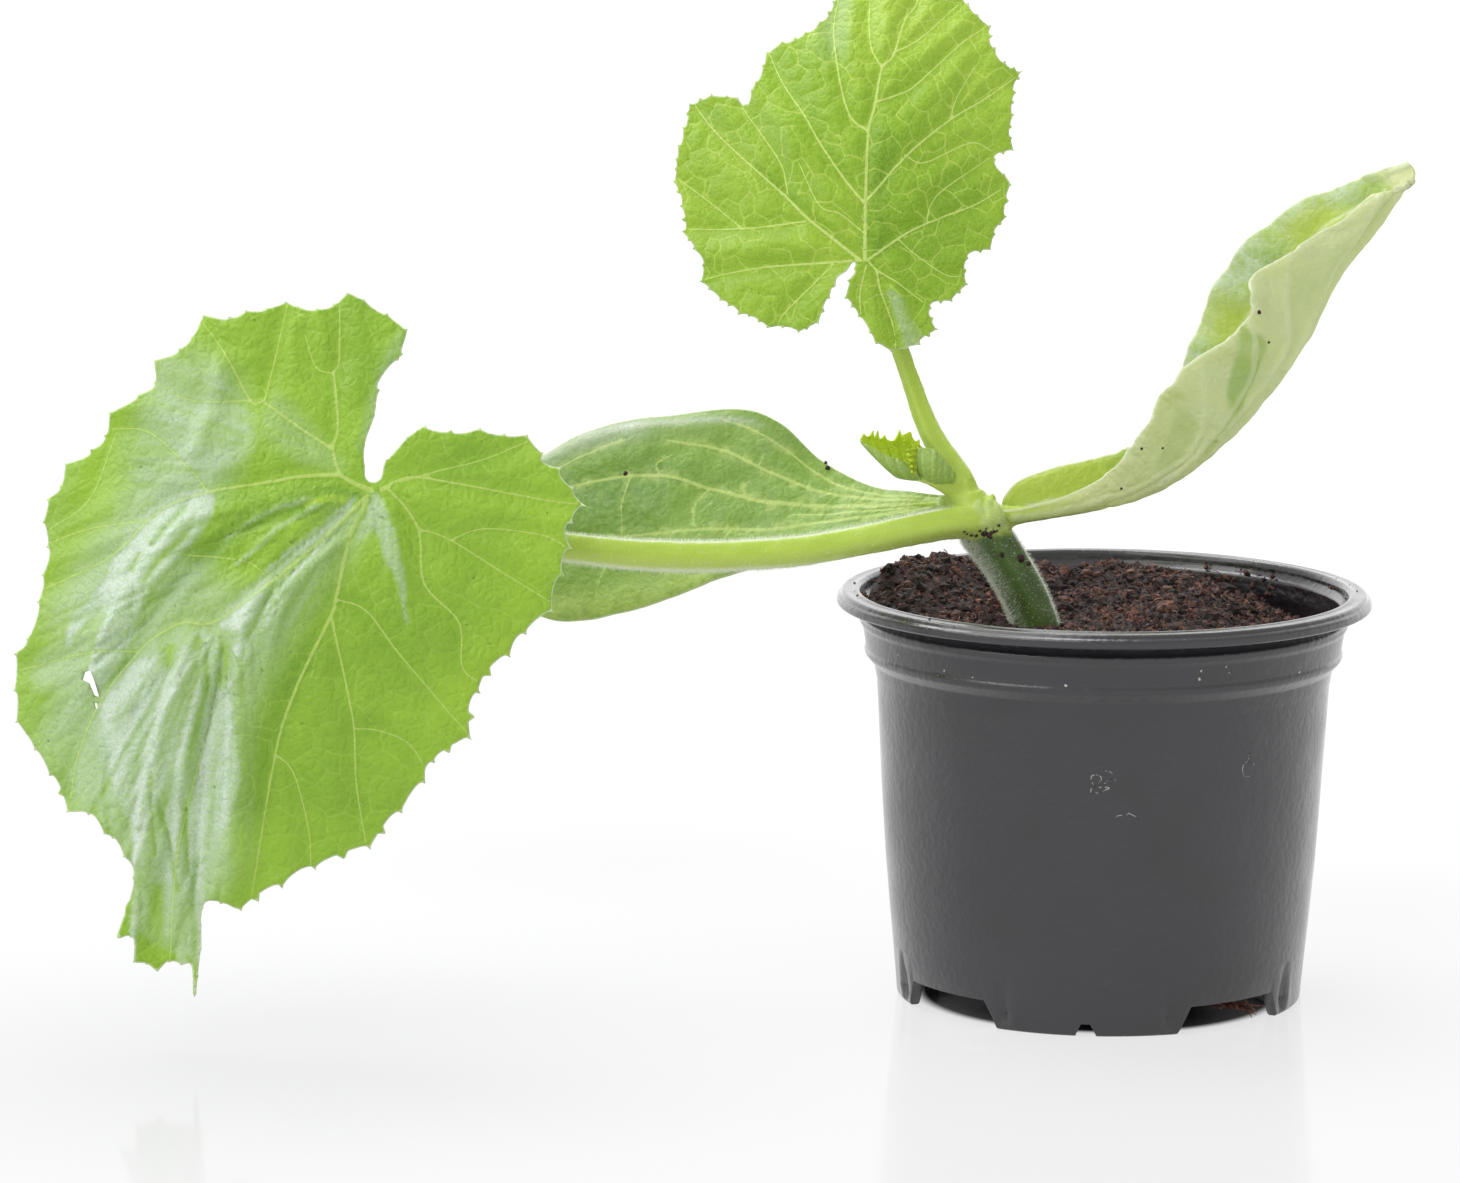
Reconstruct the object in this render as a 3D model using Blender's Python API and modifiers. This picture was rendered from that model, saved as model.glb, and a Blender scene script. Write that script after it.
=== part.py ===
"""A young zucchini plant in a round plastic nursery pot.

Metres, +Z up, standing on z = 0 with the origin under the middle of the whole plant's box.
The lengths in the tables below are millimetres from the pot's axis at floor level, with
x to the right, y away from the front and z up.  MM turns them to metres.
"""
import math

import bmesh
import bpy
from mathutils import Vector, geometry, noise

MM = 0.001
SEAM = 0.3                 # gap between pieces that touch

# How far right of the middle of the plant's box the pot's axis stands
POT_X = 86.8

# Pot: a 12 cm nursery pot
POT_HEIGHT = 92.0
RIM_RADIUS = 60.0
MOUTH_RADIUS = 54.8
COLLAR_RADIUS = 54.2
COLLAR_TOP = 86.7
COLLAR_BOTTOM = 77.5
BODY_TOP_RADIUS = 51.8
FOOT_RADIUS = 45.9
WALL = 0.9
FOOT_WIDTH = 3.4
FLOOR_HEIGHT = 7.0
NOTCH_HEIGHT = 6.2
NOTCH_ANGLE = 37.5         # degrees of the foot ring that one notch takes at the ground
NOTCH_FIRST = 41.0         # degrees from the front to the middle of the first notch
NOTCH_SLOPE = 0.74         # how much of its width a notch keeps at its top
CREASE_HEIGHT = 2.8
CREASE_ANGLE = 8.5
CREASE_SLOPE = 0.3
DRAIN_RADIUS = 4.5
DRAIN_CIRCLE = 33.0
DRAIN_SIDES = 14
POT_STEPS = 52

# The lip's section, radius and height, from the mouth over the rolled rim to the collar
LIP = [
    (MOUTH_RADIUS, 91.6), (56.6, POT_HEIGHT), (58.8, 91.8), (RIM_RADIUS, 90.9), (RIM_RADIUS, 89.5),
    (59.2, 89.5), (58.2, 90.5), (55.0, 89.7), (53.9, 88.4), (53.9, COLLAR_TOP + 0.2),
]
LIP_FOOT = 90.2            # where the lip starts on the inside of the collar
WALL_TOP = 75.4            # where the plain wall meets the step of the collar
WALL_SWELL = 0.12          # how far the wall bulges past a straight cone, as a share of its taper

# Soil: its level in the middle, its heaps against the wall and its hollow at the right
SOIL_LEVEL = 87.2
SOIL_LEFT_HEAP = 4.0
SOIL_BACK_HEAP = 2.6
SOIL_SINK = 6.4
SOIL_ROUGH = 0.7
SOIL_GRAIN = 7.0           # width of a lump of that roughness
SOIL_EDGE = 79.0           # where the soil's edge leaves the pot's inside profile
SOIL_RINGS = (0, 9, 18, 27, 36, 44, 50)

# Leaves
LEAN = 9.6                 # degrees that the two big leaves lean back
LEAF_THICK = 0.8
SEED_LEAF_THICK = 1.3
LEAF_GRID = 6.2            # spacing of the points inside a big leaf

# Domes of the two big leaves in their own plane: middle, reach each way, height, and how far
# the margin falls behind the plane
LEFT_DOME = ((-20, -30), (45, 60), 14.0, 8.2)
TOP_DOME = ((-4, 25), (38, 45), 12.0, 8.7)
# Where each blade starts to fall back, over what length, and by how much there
LEFT_FALL = (40, 40, 12.0)
TOP_FALL = (35, 38, 10.0)
LEFT_TILT = 0.1            # the left leaf's right half comes forward by this share
TOP_FOLD = 0.1             # both halves of the top leaf fall back from its midrib by this share
PLEAT = 1.6                # depth of the pleats towards the left leaf's tip
PLEAT_WIDTH = 6.5

# Stem, from the tip of the buried root to the crown: x, y, z, radius
STEM = [
    (-9.0, -13.0, 46.0, 1.6), (-10.5, -14.5, 62.0, 2.9), (-13.0, -16.8, 77.0, 4.6),
    (-15.7, -18.0, 86.6, 5.1), (-18.9, -18.2, 94.5, 5.1), (-23.2, -18.2, 102.0, 5.2),
    (-28.0, -18.0, 108.6, 5.4), (-30.6, -17.3, 113.4, 4.8), (-31.6, -16.8, 116.6, 3.9),
]
# Stalk of the top leaf, from inside the crown up to the blade
TOP_STALK = [
    (-31.8, -17.2, 112.6, 3.3), (-32.0, -16.6, 116.6, 3.1), (-33.0, -16.0, 119.6, 3.0),
    (-35.4, -15.0, 123.2, 2.8), (-39.9, -12.6, 130.2, 2.5), (-44.1, -9.6, 141.0, 2.1),
    (-48.8, -9.2, 154.2, 2.0), (-52.1, -12.4, 162.4, 1.9), (-54.4, -16.6, 167.6, 1.6),
]
# Stalk of the left leaf, from inside the crown out to the blade
LEFT_STALK = [
    (-27.6, -19.6, 110.6, 3.6), (-32.2, -22.0, 110.9, 3.6), (-38.5, -23.6, 110.4, 3.4),
    (-56.8, -25.4, 106.9, 3.2), (-73.2, -27.6, 104.7, 3.3), (-97.4, -30.4, 104.3, 3.3),
    (-119.8, -33.2, 106.6, 3.1), (-140.0, -37.4, 111.0, 2.7), (-155.4, -41.8, 116.8, 2.3),
    (-162.6, -44.4, 119.7, 1.9),
]
YOUNG_STALK = [
    (-34.2, -18.2, 114.8, 1.3), (-36.5, -19.5, 117.8, 1.3), (-37.9, -20.2, 120.2, 1.2),
]
SIDE_BUD = [
    (-27.6, -18.0, 114.0, 1.5), (-26.2, -19.8, 116.4, 1.3), (-25.8, -20.4, 118.4, 0.5),
]
# Roots that have grown out through a drain hole
ROOT_TUFT = [
    (21.6, -24.9, 10.0, 0.9), (22.6, -25.8, 5.8, 1.5), (28.0, -28.6, 2.6, 1.4), (36.0, -31.5, 1.5, 0.8),
]

# Big leaves: where the stalk joins, and the outline from there round the blade in the
# leaf's own plane (to the right, and up), clockwise from the left side of the notch
LEFT_JOINT = (-161.9, -45.0, 121.2)
LEFT_OUTLINE = [
    (-0.4, 2.2), (-1.8, 6), (1, 14), (5, 25), (6, 35), (2, 39), (-6, 43), (-18, 41), (-37, 38),
    (-47, 30), (-48, 22), (-58, 14), (-68, 6), (-72, -8), (-73, -17), (-77, -29), (-80, -40),
    (-78, -57), (-71, -66), (-61, -76), (-54, -87), (-56, -99), (-53, -106), (-47, -107),
    (-39, -111), (-37, -104), (-37, -92), (-28, -93), (-13, -84), (0, -80), (8, -72), (14, -64),
    (22, -55), (27, -44), (34, -34), (41, -26), (43, -15), (46, -4), (41, 6), (34, 12), (23, 14),
    (12, 13), (5, 7), (1.5, 2.6),
]
TOP_JOINT = (-54.7, -18.0, 168.6)
TOP_OUTLINE = [
    (-2, -2), (-7, -12), (-12, -15), (-21, -14), (-31, -7), (-35, 0), (-40, 8), (-42, 19), (-40, 31),
    (-34, 37), (-27, 36), (-23, 46), (-15, 52), (-8, 58), (-4, 66), (3, 72), (10, 76), (16, 71),
    (21, 62), (27, 53), (33, 45), (34, 30), (31, 24), (32, 15), (29, 4), (24, -2), (19, -10),
    (15, -17), (7, -20), (1, -17), (-3, -9), (-2, -3),
]

# Seed leaves and the folded young leaf: an edge, the middle and the other edge of each
# trough, matched point by point from the stalk to the tip
LEFT_SEED_EDGES = [
    [(-33.5, -13.0, 115.2), (-43.5, -9.5, 115.7), (-54, -4, 116.4), (-63.5, 0.5, 121), (-73, 4, 129),
     (-83, 6, 132.2), (-98, 7.5, 130.5), (-110, 8.5, 128.3), (-122.5, 8.5, 124), (-131.5, 6.5, 118),
     (-136, 3, 110.5)],
    [(-33, -13.8, 114.0), (-43.5, -11.6, 113.1), (-54, -9.4, 112.7), (-64, -7, 112.7), (-74, -5, 113.7),
     (-84, -3.4, 114.5), (-98, -2, 114.3), (-109.5, -1, 112.7), (-122, 0, 109.7), (-131, 1, 107.3),
     (-137, 1.5, 104.4)],
    [(-33.5, -15.2, 112.8), (-43.7, -15.4, 110.5), (-54.3, -15.6, 108), (-64, -16, 104.7), (-74, -16.5, 101),
     (-83.5, -16.5, 97.5), (-96, -16, 92.8), (-109, -14, 88.6), (-122, -10.5, 86), (-131, -6, 90),
     (-135.6, -1, 98.5)],
]
RIGHT_SEED_EDGES = [
    [(-24.2, -22, 113.3), (-17.8, -22, 114.4), (-10.8, -22.5, 116.5), (-3.4, -23, 119.8), (1.4, -24, 123.7),
     (6, -24.5, 129.8), (10.3, -25, 137.5), (14.8, -25, 144.2), (22.5, -23.5, 149.8), (30, -21, 155.7),
     (30.6, -18.5, 163.8), (38, -15, 169.4), (49.4, -10, 175.3), (58.7, -3, 182.8), (66.7, 4, 186.2)],
    [(-24.1, -19, 110.8), (-17.2, -18.4, 111.8), (-9.2, -17.8, 113), (-1, -17, 114.6), (7.9, -16, 116.7),
     (15.7, -15, 120.7), (22.7, -14, 125.7), (29, -12.5, 131.8), (35.2, -10.5, 139.4), (41.5, -8, 147.4),
     (46.8, -5.5, 156), (51.8, -3, 164.7), (57, -0.5, 171.8), (62.7, 2.5, 179), (68, 5.5, 185.8)],
    [(-23.8, -16, 115.5), (-20.2, -13, 118.6), (-13, -10.5, 120.7), (-5.3, -9, 122.4), (1, -7.5, 123.7),
     (7, -5, 126), (11.8, -2, 133), (16.4, 1, 141), (20, 4, 150), (24.3, 7, 160), (29.3, 9.5, 167),
     (36.3, 12, 173.4), (46.6, 13, 179.5), (56.8, 12, 183.5), (66.7, 7, 187.2)],
]
YOUNG_EDGES = [
    [(-39.3, -21.8, 122.4), (-41.6, -23.6, 125.5), (-45.7, -24.6, 129.4), (-50.7, -23.2, 130),
     (-55.3, -20.8, 129.6)],
    [(-39.5, -20.4, 120.1), (-41.6, -20.6, 120), (-45.3, -20.8, 120.6), (-50.4, -20.4, 123.8),
     (-55.4, -20, 128.4)],
    [(-39.1, -18.6, 122.6), (-41.4, -17, 124.9), (-45.2, -16.2, 128), (-50.3, -17, 128.8),
     (-55, -19.2, 129.6)],
]

# sRGB colour, roughness of each finish
FINISHES = {
    "black_plastic": ("#46454A", 0.42),
    "potting_soil": ("#3B2620", 0.95),
    "stem_green": ("#4F7D2D", 0.5),
    "stalk_green": ("#A9C94A", 0.45),
    "leaf_green": ("#8CBB3C", 0.55),
    "seed_leaf_green": ("#6FA04A", 0.5),
    "root_brown": ("#A0714B", 0.8),
}


# ---------------------------------------------------------------- scene and materials

def clear_scene():
    for item in list(bpy.data.objects):
        bpy.data.objects.remove(item, do_unlink=True)


def new_collection(name):
    group = bpy.data.collections.new(name)
    bpy.context.scene.collection.children.link(group)
    return group


def linear(channel):
    if channel <= 0.04045:
        return channel / 12.92
    return ((channel + 0.055) / 1.055) ** 2.4


def finish(name):
    """The Principled material of one finish, made the first time it is asked for."""
    found = bpy.data.materials.get(name)
    if found:
        return found
    code, roughness = FINISHES[name]
    colour = [linear(int(code[i:i + 2], 16) / 255) for i in (1, 3, 5)]
    made = bpy.data.materials.new(name)
    made.use_nodes = True
    shader = made.node_tree.nodes["Principled BSDF"]
    shader.inputs["Base Color"].default_value = (*colour, 1)
    shader.inputs["Roughness"].default_value = roughness
    shader.inputs["Metallic"].default_value = 0
    made.diffuse_color = (*colour, 1)
    return made


def add_object(name, mesh, group):
    """An object for the mesh, in its collection and carried by the pot's axis."""
    made = bpy.data.objects.new(name, mesh)
    group.objects.link(made)
    made.parent = pot_axis
    return made


def as_part(item, slot):
    item.data.materials.clear()
    item.data.materials.append(finish(slot))
    item.data.shade_smooth()
    item.data.set_sharp_from_angle(angle=math.radians(40))


def as_cutter(item):
    item.hide_render = True
    item.display_type = "WIRE"
    return item


# ---------------------------------------------------------------- shape tools

def to_mesh(item, group):
    """Replaces an object by the plain mesh of what its modifiers or curve make."""
    graph = bpy.context.evaluated_depsgraph_get()
    mesh = bpy.data.meshes.new_from_object(item.evaluated_get(graph))
    shape = bmesh.new()
    shape.from_mesh(mesh)
    bmesh.ops.remove_doubles(shape, verts=shape.verts, dist=0.00001)
    shape.to_mesh(mesh)
    shape.free()
    name = item.name
    place = item.matrix_world.copy()
    bpy.data.objects.remove(item, do_unlink=True)
    made = add_object(name, mesh, group)
    made.matrix_world = place
    return made


def cut(item, cutter):
    modifier = item.modifiers.new("cut_" + cutter.name, "BOOLEAN")
    modifier.object = cutter
    modifier.operation = "DIFFERENCE"
    modifier.solver = "EXACT"


def along(points, place):
    """A point on the smooth curve through a list of points; place runs from 0 to len - 1."""
    last = len(points) - 1
    first = min(int(place), last - 1)
    near = [Vector(points[min(max(first + k, 0), last)]) for k in (-1, 0, 1, 2)]
    t = place - first
    before, a, b, after = near
    return 0.5 * ((2 * a) + (b - before) * t + (2 * before - 5 * a + 4 * b - after) * t * t
                  + (3 * a - before - 3 * b + after) * t * t * t)


def turned(name, profile, steps, group):
    """A profile of (radius, height) in mm, outer side down, turned about the pot's axis."""
    mesh = bpy.data.meshes.new(name)
    corners = [(r * MM, 0, z * MM) for r, z in profile]
    mesh.from_pydata(corners, [(i, i + 1) for i in range(len(corners) - 1)], [])
    made = add_object(name, mesh, group)
    screw = made.modifiers.new("turn", "SCREW")
    screw.steps = steps
    screw.render_steps = steps
    screw.use_merge_vertices = True
    screw.merge_threshold = 0.00001
    return made


def tube(name, route, group, spare=0.0, between=3):
    """A round stalk through (x, y, z, radius) points; spare is added to its radius."""
    curve = bpy.data.curves.new(name, "CURVE")
    curve.dimensions = "3D"
    curve.bevel_depth = MM
    curve.bevel_resolution = 3
    curve.use_fill_caps = True
    count = (len(route) - 1) * between + 1
    spots = [along(route, index / between) for index in range(count)]
    spots[0].xyz += spare * (spots[0].xyz - spots[1].xyz).normalized()
    spots[-1].xyz += spare * (spots[-1].xyz - spots[-2].xyz).normalized()
    spline = curve.splines.new("POLY")
    spline.points.add(count - 1)
    for point, spot in zip(spline.points, spots):
        point.co = (*(spot.xyz * MM), 1)
        point.radius = spot.w + spare
    made = add_object(name, curve, group)
    bpy.context.view_layer.update()
    return to_mesh(made, group)


def solidify(item, thick):
    shell = item.modifiers.new("thickness", "SOLIDIFY")
    shell.thickness = thick * MM
    shell.offset = 0


def inside(point, outline):
    """True where a point lies inside a closed outline."""
    x, y = point
    found = False
    for (ax, ay), (bx, by) in zip(outline, outline[1:] + outline[:1]):
        if (ay > y) != (by > y) and x < (bx - ax) * (y - ay) / (by - ay) + ax:
            found = not found
    return found


def edge_distance(point, outline):
    p = Vector((*point, 0))
    best = math.inf
    for a, b in zip(outline, outline[1:] + outline[:1]):
        a3, b3 = Vector((*a, 0)), Vector((*b, 0))
        near, t = geometry.intersect_point_line(p, a3, b3)
        near = a3.lerp(b3, min(max(t, 0), 1))
        best = min(best, (p - near).length)
    return best


def blade(name, joint, outline, form, group, spare=0.0):
    """A leaf blade: its flat outline filled with points, then bent by form(right, up)."""
    points = [Vector(p) for p in outline]
    rise = LEAF_GRID * math.sqrt(0.75)
    left, right = [int(pick(x for x, _ in outline) / LEAF_GRID) for pick in (min, max)]
    low, high = [int(pick(y for _, y in outline) / rise) for pick in (min, max)]
    for row in range(low - 1, high + 2):
        for column in range(left - 1, right + 2):
            spot = ((column + 0.5 * (row % 2)) * LEAF_GRID, row * rise)
            if inside(spot, outline) and edge_distance(spot, outline) > 0.5 * LEAF_GRID:
                points.append(Vector(spot))
    ring = [list(range(len(outline)))]
    flat, _, faces, _, _, _ = geometry.delaunay_2d_cdt(points, [], ring, 1, 0.001)
    corners = [(p.x * MM, -form(p.x, p.y) * MM, p.y * MM) for p in flat]
    mesh = bpy.data.meshes.new(name)
    mesh.from_pydata(corners, [], faces)
    made = add_object(name, mesh, group)
    made.location = [n * MM for n in joint]
    made.rotation_euler.x = -math.radians(LEAN)
    solidify(made, LEAF_THICK + 2 * spare)
    return made


def trough(name, edges, thick, group, rows, columns=6):
    """A narrow leaf lofted over an edge, a middle and another edge, stalk to tip."""
    shape = bmesh.new()
    bmesh.ops.create_grid(shape, x_segments=rows, y_segments=columns, size=1)
    last = len(edges[0]) - 1
    for vertex in shape.verts:
        place = (vertex.co.x + 1) / 2 * last
        across = vertex.co.y
        near, middle, far = [along(rail, place) for rail in edges]
        vertex.co = (near * across * (across - 1) / 2 + middle * (1 - across * across)
                     + far * across * (across + 1) / 2) * MM
    mesh = bpy.data.meshes.new(name)
    shape.to_mesh(mesh)
    shape.free()
    made = add_object(name, mesh, group)
    solidify(made, thick)
    return made


# ---------------------------------------------------------------- pot

def wall_radius(z):
    """Outer radius of the pot's plain wall at height z."""
    share = min(z, WALL_TOP) / WALL_TOP
    swell = WALL_SWELL * math.sin(math.pi * share)
    return FOOT_RADIUS + (BODY_TOP_RADIUS - FOOT_RADIUS) * (share + swell)


def inner_wall(gap):
    """Profile of the pot's inside from the middle of its floor up, drawn in by a gap."""
    floor = FLOOR_HEIGHT + WALL + gap
    in_by = WALL + gap
    return [
        (0, floor), (wall_radius(8) - in_by - 0.8, floor), (wall_radius(10) - in_by, 9 + gap),
        (wall_radius(42) - in_by, 42), (BODY_TOP_RADIUS - in_by, WALL_TOP - 0.2),
        (COLLAR_RADIUS - in_by, COLLAR_BOTTOM),
    ]


def make_pot():
    neck = [(COLLAR_RADIUS - WALL, COLLAR_TOP), (COLLAR_RADIUS - WALL, LIP_FOOT)]
    outer = [
        (COLLAR_RADIUS, COLLAR_TOP - 0.2), (COLLAR_RADIUS, COLLAR_BOTTOM + 0.6),
        (COLLAR_RADIUS - 0.8, COLLAR_BOTTOM - 0.6), (BODY_TOP_RADIUS, WALL_TOP), (wall_radius(42), 42),
        (wall_radius(12), 12), (FOOT_RADIUS + 0.3, 1.2), (FOOT_RADIUS, 0),
    ]
    foot_inside = FOOT_RADIUS - FOOT_WIDTH
    under = [(foot_inside, 0), (foot_inside - 0.4, FLOOR_HEIGHT), (0, FLOOR_HEIGHT)]
    pot = turned("pot", inner_wall(0) + neck + LIP + outer + under, POT_STEPS, parts)
    for quarter in range(4):
        turn = NOTCH_FIRST + 90 * quarter
        cut(pot, foot_cutter(f"notch_{quarter}", turn, NOTCH_ANGLE, NOTCH_HEIGHT, NOTCH_SLOPE))
        cut(pot, foot_cutter(f"crease_{quarter}", turn + 45, CREASE_ANGLE, CREASE_HEIGHT, CREASE_SLOPE))
        cut(pot, drain_cutter(f"drain_{quarter}", turn, DRAIN_CIRCLE))
    cut(pot, drain_cutter("drain_middle", 0, 0))
    as_part(pot, "black_plastic")


def foot_cutter(name, turn, angle, height, slope):
    """A wedge with sloped sides that opens the foot ring at one place."""
    reach = FOOT_RADIUS + 6
    start = FOOT_RADIUS - FOOT_WIDTH - 2.5
    low = math.tan(math.radians(angle / 2))
    high = math.tan(math.radians(angle * slope / 2))
    shape = bmesh.new()
    bmesh.ops.create_cube(shape, size=2)
    for vertex in shape.verts:
        radius = reach if vertex.co.x > 0 else start
        top = vertex.co.z > 0
        side = (high if top else low) * radius
        vertex.co = (radius * MM, math.copysign(side, vertex.co.y) * MM, (height if top else -2) * MM)
    mesh = bpy.data.meshes.new(name)
    shape.to_mesh(mesh)
    shape.free()
    made = as_cutter(add_object(name, mesh, cutters))
    made.rotation_euler.z = math.radians(turn - 90)
    return made


def drain_cutter(name, turn, circle):
    shape = bmesh.new()
    bmesh.ops.create_cone(shape, cap_ends=True, segments=DRAIN_SIDES, radius1=DRAIN_RADIUS * MM,
                          radius2=DRAIN_RADIUS * MM, depth=6 * MM)
    mesh = bpy.data.meshes.new(name)
    shape.to_mesh(mesh)
    shape.free()
    made = as_cutter(add_object(name, mesh, cutters))
    angle = math.radians(turn - 90)
    made.location = (circle * math.cos(angle) * MM, circle * math.sin(angle) * MM,
                     (FLOOR_HEIGHT + WALL / 2) * MM)
    return made


# ---------------------------------------------------------------- soil

def ease(low, high, value):
    """0 below low, 1 above high, and a smooth rise between them."""
    share = min(max((value - low) / (high - low), 0), 1)
    return share * share * (3 - 2 * share)


def soil_height(x, y):
    """Level of the soil: heaped against the wall at the left and behind, sunk at the right."""
    radius = math.hypot(x, y) + 0.001
    heap_left = SOIL_LEFT_HEAP * max((0.7 * y - 0.72 * x) / radius, 0) ** 2
    heap_back = SOIL_BACK_HEAP * max((y + 0.1 * x) / radius, 0)
    sink = SOIL_SINK * ease(14, 46, x - 0.15 * y)
    rough = SOIL_ROUGH * noise.noise(Vector((x, y, 3)) / SOIL_GRAIN)
    return SOIL_LEVEL + ease(28, 50, radius) * (heap_left + heap_back) - sink + rough


def make_soil():
    top = [(radius, SOIL_LEVEL) for radius in SOIL_RINGS]
    edge_radius = COLLAR_RADIUS - WALL - SEAM
    edge = [(edge_radius, SOIL_LEVEL - 0.2), (edge_radius, SOIL_EDGE)]
    soil = turned("soil", top + edge + inner_wall(SEAM)[::-1], POT_STEPS, parts)
    bpy.context.view_layer.update()
    soil = to_mesh(soil, parts)
    for vertex in soil.data.vertices:
        x, y, z = vertex.co / MM
        if z > SOIL_EDGE + 1:
            vertex.co.z = soil_height(x, y) * MM
    cut(soil, room_for("stem_hole", STEM))
    cut(soil, room_for("root_hole", ROOT_TUFT))
    as_part(soil, "potting_soil")


# ---------------------------------------------------------------- plant

def dome(x, y, shape):
    (middle_x, middle_y), (reach_x, reach_y), height, margin = shape
    return height * math.exp(-((x - middle_x) / reach_x) ** 2 - ((y - middle_y) / reach_y) ** 2) - margin


def fall(distance, shape):
    """How far a blade has fallen back at a distance from its joint."""
    start, length, depth = shape
    return depth * (max(distance - start, 0) / length) ** 2


def left_form(x, y):
    """How far the left leaf stands forward of its plane: a dome, falling back at the left."""
    pleated = min(max(-y - 20, 0) / 60, 1) * (x < 4)
    pleat = PLEAT * math.sin((x + 0.55 * y) / PLEAT_WIDTH) * pleated
    return dome(x, y, LEFT_DOME) - fall(-x, LEFT_FALL) + LEFT_TILT * max(x, 0) + pleat


def top_form(x, y):
    """How far the top leaf stands forward: a dome folded along its midrib, its tip drooping."""
    return dome(x, y, TOP_DOME) - fall(y, TOP_FALL) - TOP_FOLD * abs(x - 0.1 * y)


def room_for(name, route):
    """A cutter a little larger than a stalk, for what has to stop short of it."""
    return as_cutter(tube(name, route, cutters, spare=SEAM))


def make_stem():
    as_part(tube("stem", STEM, parts), "stem_green")


def make_big_leaf(name, joint, outline, form, route, around):
    """A blade and its stalk, which stops just short of the stem and of the blade."""
    leaf = blade(name, joint, outline, form, parts)
    room = as_cutter(blade(name + "_room", joint, outline, form, cutters, spare=SEAM))
    stalk = tube(name + "_stalk", route, parts)
    cut(stalk, around)
    cut(stalk, room)
    as_part(leaf, "leaf_green")
    as_part(stalk, "stalk_green")


def make_seed_leaf(name, edges, rows, around):
    leaf = trough(name, edges, SEED_LEAF_THICK, parts, rows)
    cut(leaf, around)
    as_part(leaf, "seed_leaf_green")


def make_young_leaf(around, neighbour):
    leaf = trough("young_leaf", YOUNG_EDGES, LEAF_THICK, parts, 9)
    room = as_cutter(trough("young_leaf_room", YOUNG_EDGES, LEAF_THICK + 2 * SEAM, cutters, 9))
    stalk = tube("young_leaf_stalk", YOUNG_STALK, parts)
    cut(stalk, around)
    cut(stalk, neighbour)
    cut(stalk, room)
    as_part(leaf, "leaf_green")
    as_part(stalk, "stalk_green")


def make_side_bud(around):
    bud = tube("side_bud", SIDE_BUD, parts)
    cut(bud, around)
    as_part(bud, "stalk_green")


def make_root_tuft():
    as_part(tube("root_tuft", ROOT_TUFT, parts), "root_brown")


# ---------------------------------------------------------------- assembly

clear_scene()
parts = new_collection("potted_zucchini_plant")
cutters = new_collection("cutters")
pot_axis = bpy.data.objects.new("pot_axis", None)
parts.objects.link(pot_axis)
pot_axis.location.x = POT_X * MM
bpy.context.view_layer.update()

make_pot()
make_soil()
make_stem()
stem_room = room_for("stem_room", STEM)
top_stalk_room = room_for("top_stalk_room", TOP_STALK)
make_big_leaf("left_leaf", LEFT_JOINT, LEFT_OUTLINE, left_form, LEFT_STALK, stem_room)
make_big_leaf("top_leaf", TOP_JOINT, TOP_OUTLINE, top_form, TOP_STALK, stem_room)
make_seed_leaf("left_seed_leaf", LEFT_SEED_EDGES, 22, stem_room)
make_seed_leaf("right_seed_leaf", RIGHT_SEED_EDGES, 26, stem_room)
make_young_leaf(stem_room, top_stalk_room)
make_side_bud(stem_room)
make_root_tuft()
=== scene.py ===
"""Looks of a young zucchini plant in a round plastic nursery pot.

The lengths below are millimetres from the pot's axis at floor level, x to the right, y away
from the front and z up.  to_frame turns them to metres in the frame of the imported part.
"""
import math

import bpy
import numpy as np
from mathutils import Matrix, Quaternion, Vector, geometry, kdtree, noise


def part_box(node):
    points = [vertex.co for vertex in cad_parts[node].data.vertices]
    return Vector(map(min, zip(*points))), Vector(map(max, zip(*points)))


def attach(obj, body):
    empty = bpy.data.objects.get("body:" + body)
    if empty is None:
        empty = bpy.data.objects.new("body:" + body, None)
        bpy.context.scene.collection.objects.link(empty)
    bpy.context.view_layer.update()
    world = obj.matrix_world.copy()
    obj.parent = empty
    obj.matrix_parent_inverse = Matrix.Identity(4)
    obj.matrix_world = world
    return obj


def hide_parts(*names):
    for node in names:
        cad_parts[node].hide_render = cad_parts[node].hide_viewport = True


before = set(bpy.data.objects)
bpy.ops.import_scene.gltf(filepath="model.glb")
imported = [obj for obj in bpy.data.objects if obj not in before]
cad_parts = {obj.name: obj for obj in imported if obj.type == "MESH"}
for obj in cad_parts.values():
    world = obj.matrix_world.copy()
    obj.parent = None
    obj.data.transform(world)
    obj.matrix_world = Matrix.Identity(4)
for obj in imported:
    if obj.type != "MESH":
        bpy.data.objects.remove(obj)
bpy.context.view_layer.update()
pot_low, pot_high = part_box("pot")

MM = 0.001
POT_X = (pot_low.x + pot_high.x) / 2 / MM
POT_HEIGHT = pot_high.z / MM
RIM_RADIUS = (pot_high.x - pot_low.x) / 2 / MM

# ---------------------------------------------------------------- sizes and places

# Pot
WALL = 0.9
COLLAR_RADIUS = 53.4
COLLAR_TOP = 86.4
COLLAR_BOTTOM = 77.5
BODY_TOP_RADIUS = 51.0
WALL_TOP = 75.4
WALL_SWELL = 0.1
FOOT_RADIUS = 45.6
FOOT_WIDTH = 2.2
FLOOR_HEIGHT = 7.0
NOTCH_ANGLE = 41.0         # degrees of the foot ring that one notch takes at the ground
NOTCH_FIRST = 38.4         # degrees from the front to the middle of the first notch
NOTCH_HEIGHT = 6.2
NOTCH_SLOPE = 0.74
CREASE_ANGLE = 8.5
CREASE_HEIGHT = 2.8
CREASE_SLOPE = 0.3
DRAIN_RADIUS = 4.5
DRAIN_CIRCLE = 33.0
POT_STEPS = 240

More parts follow.
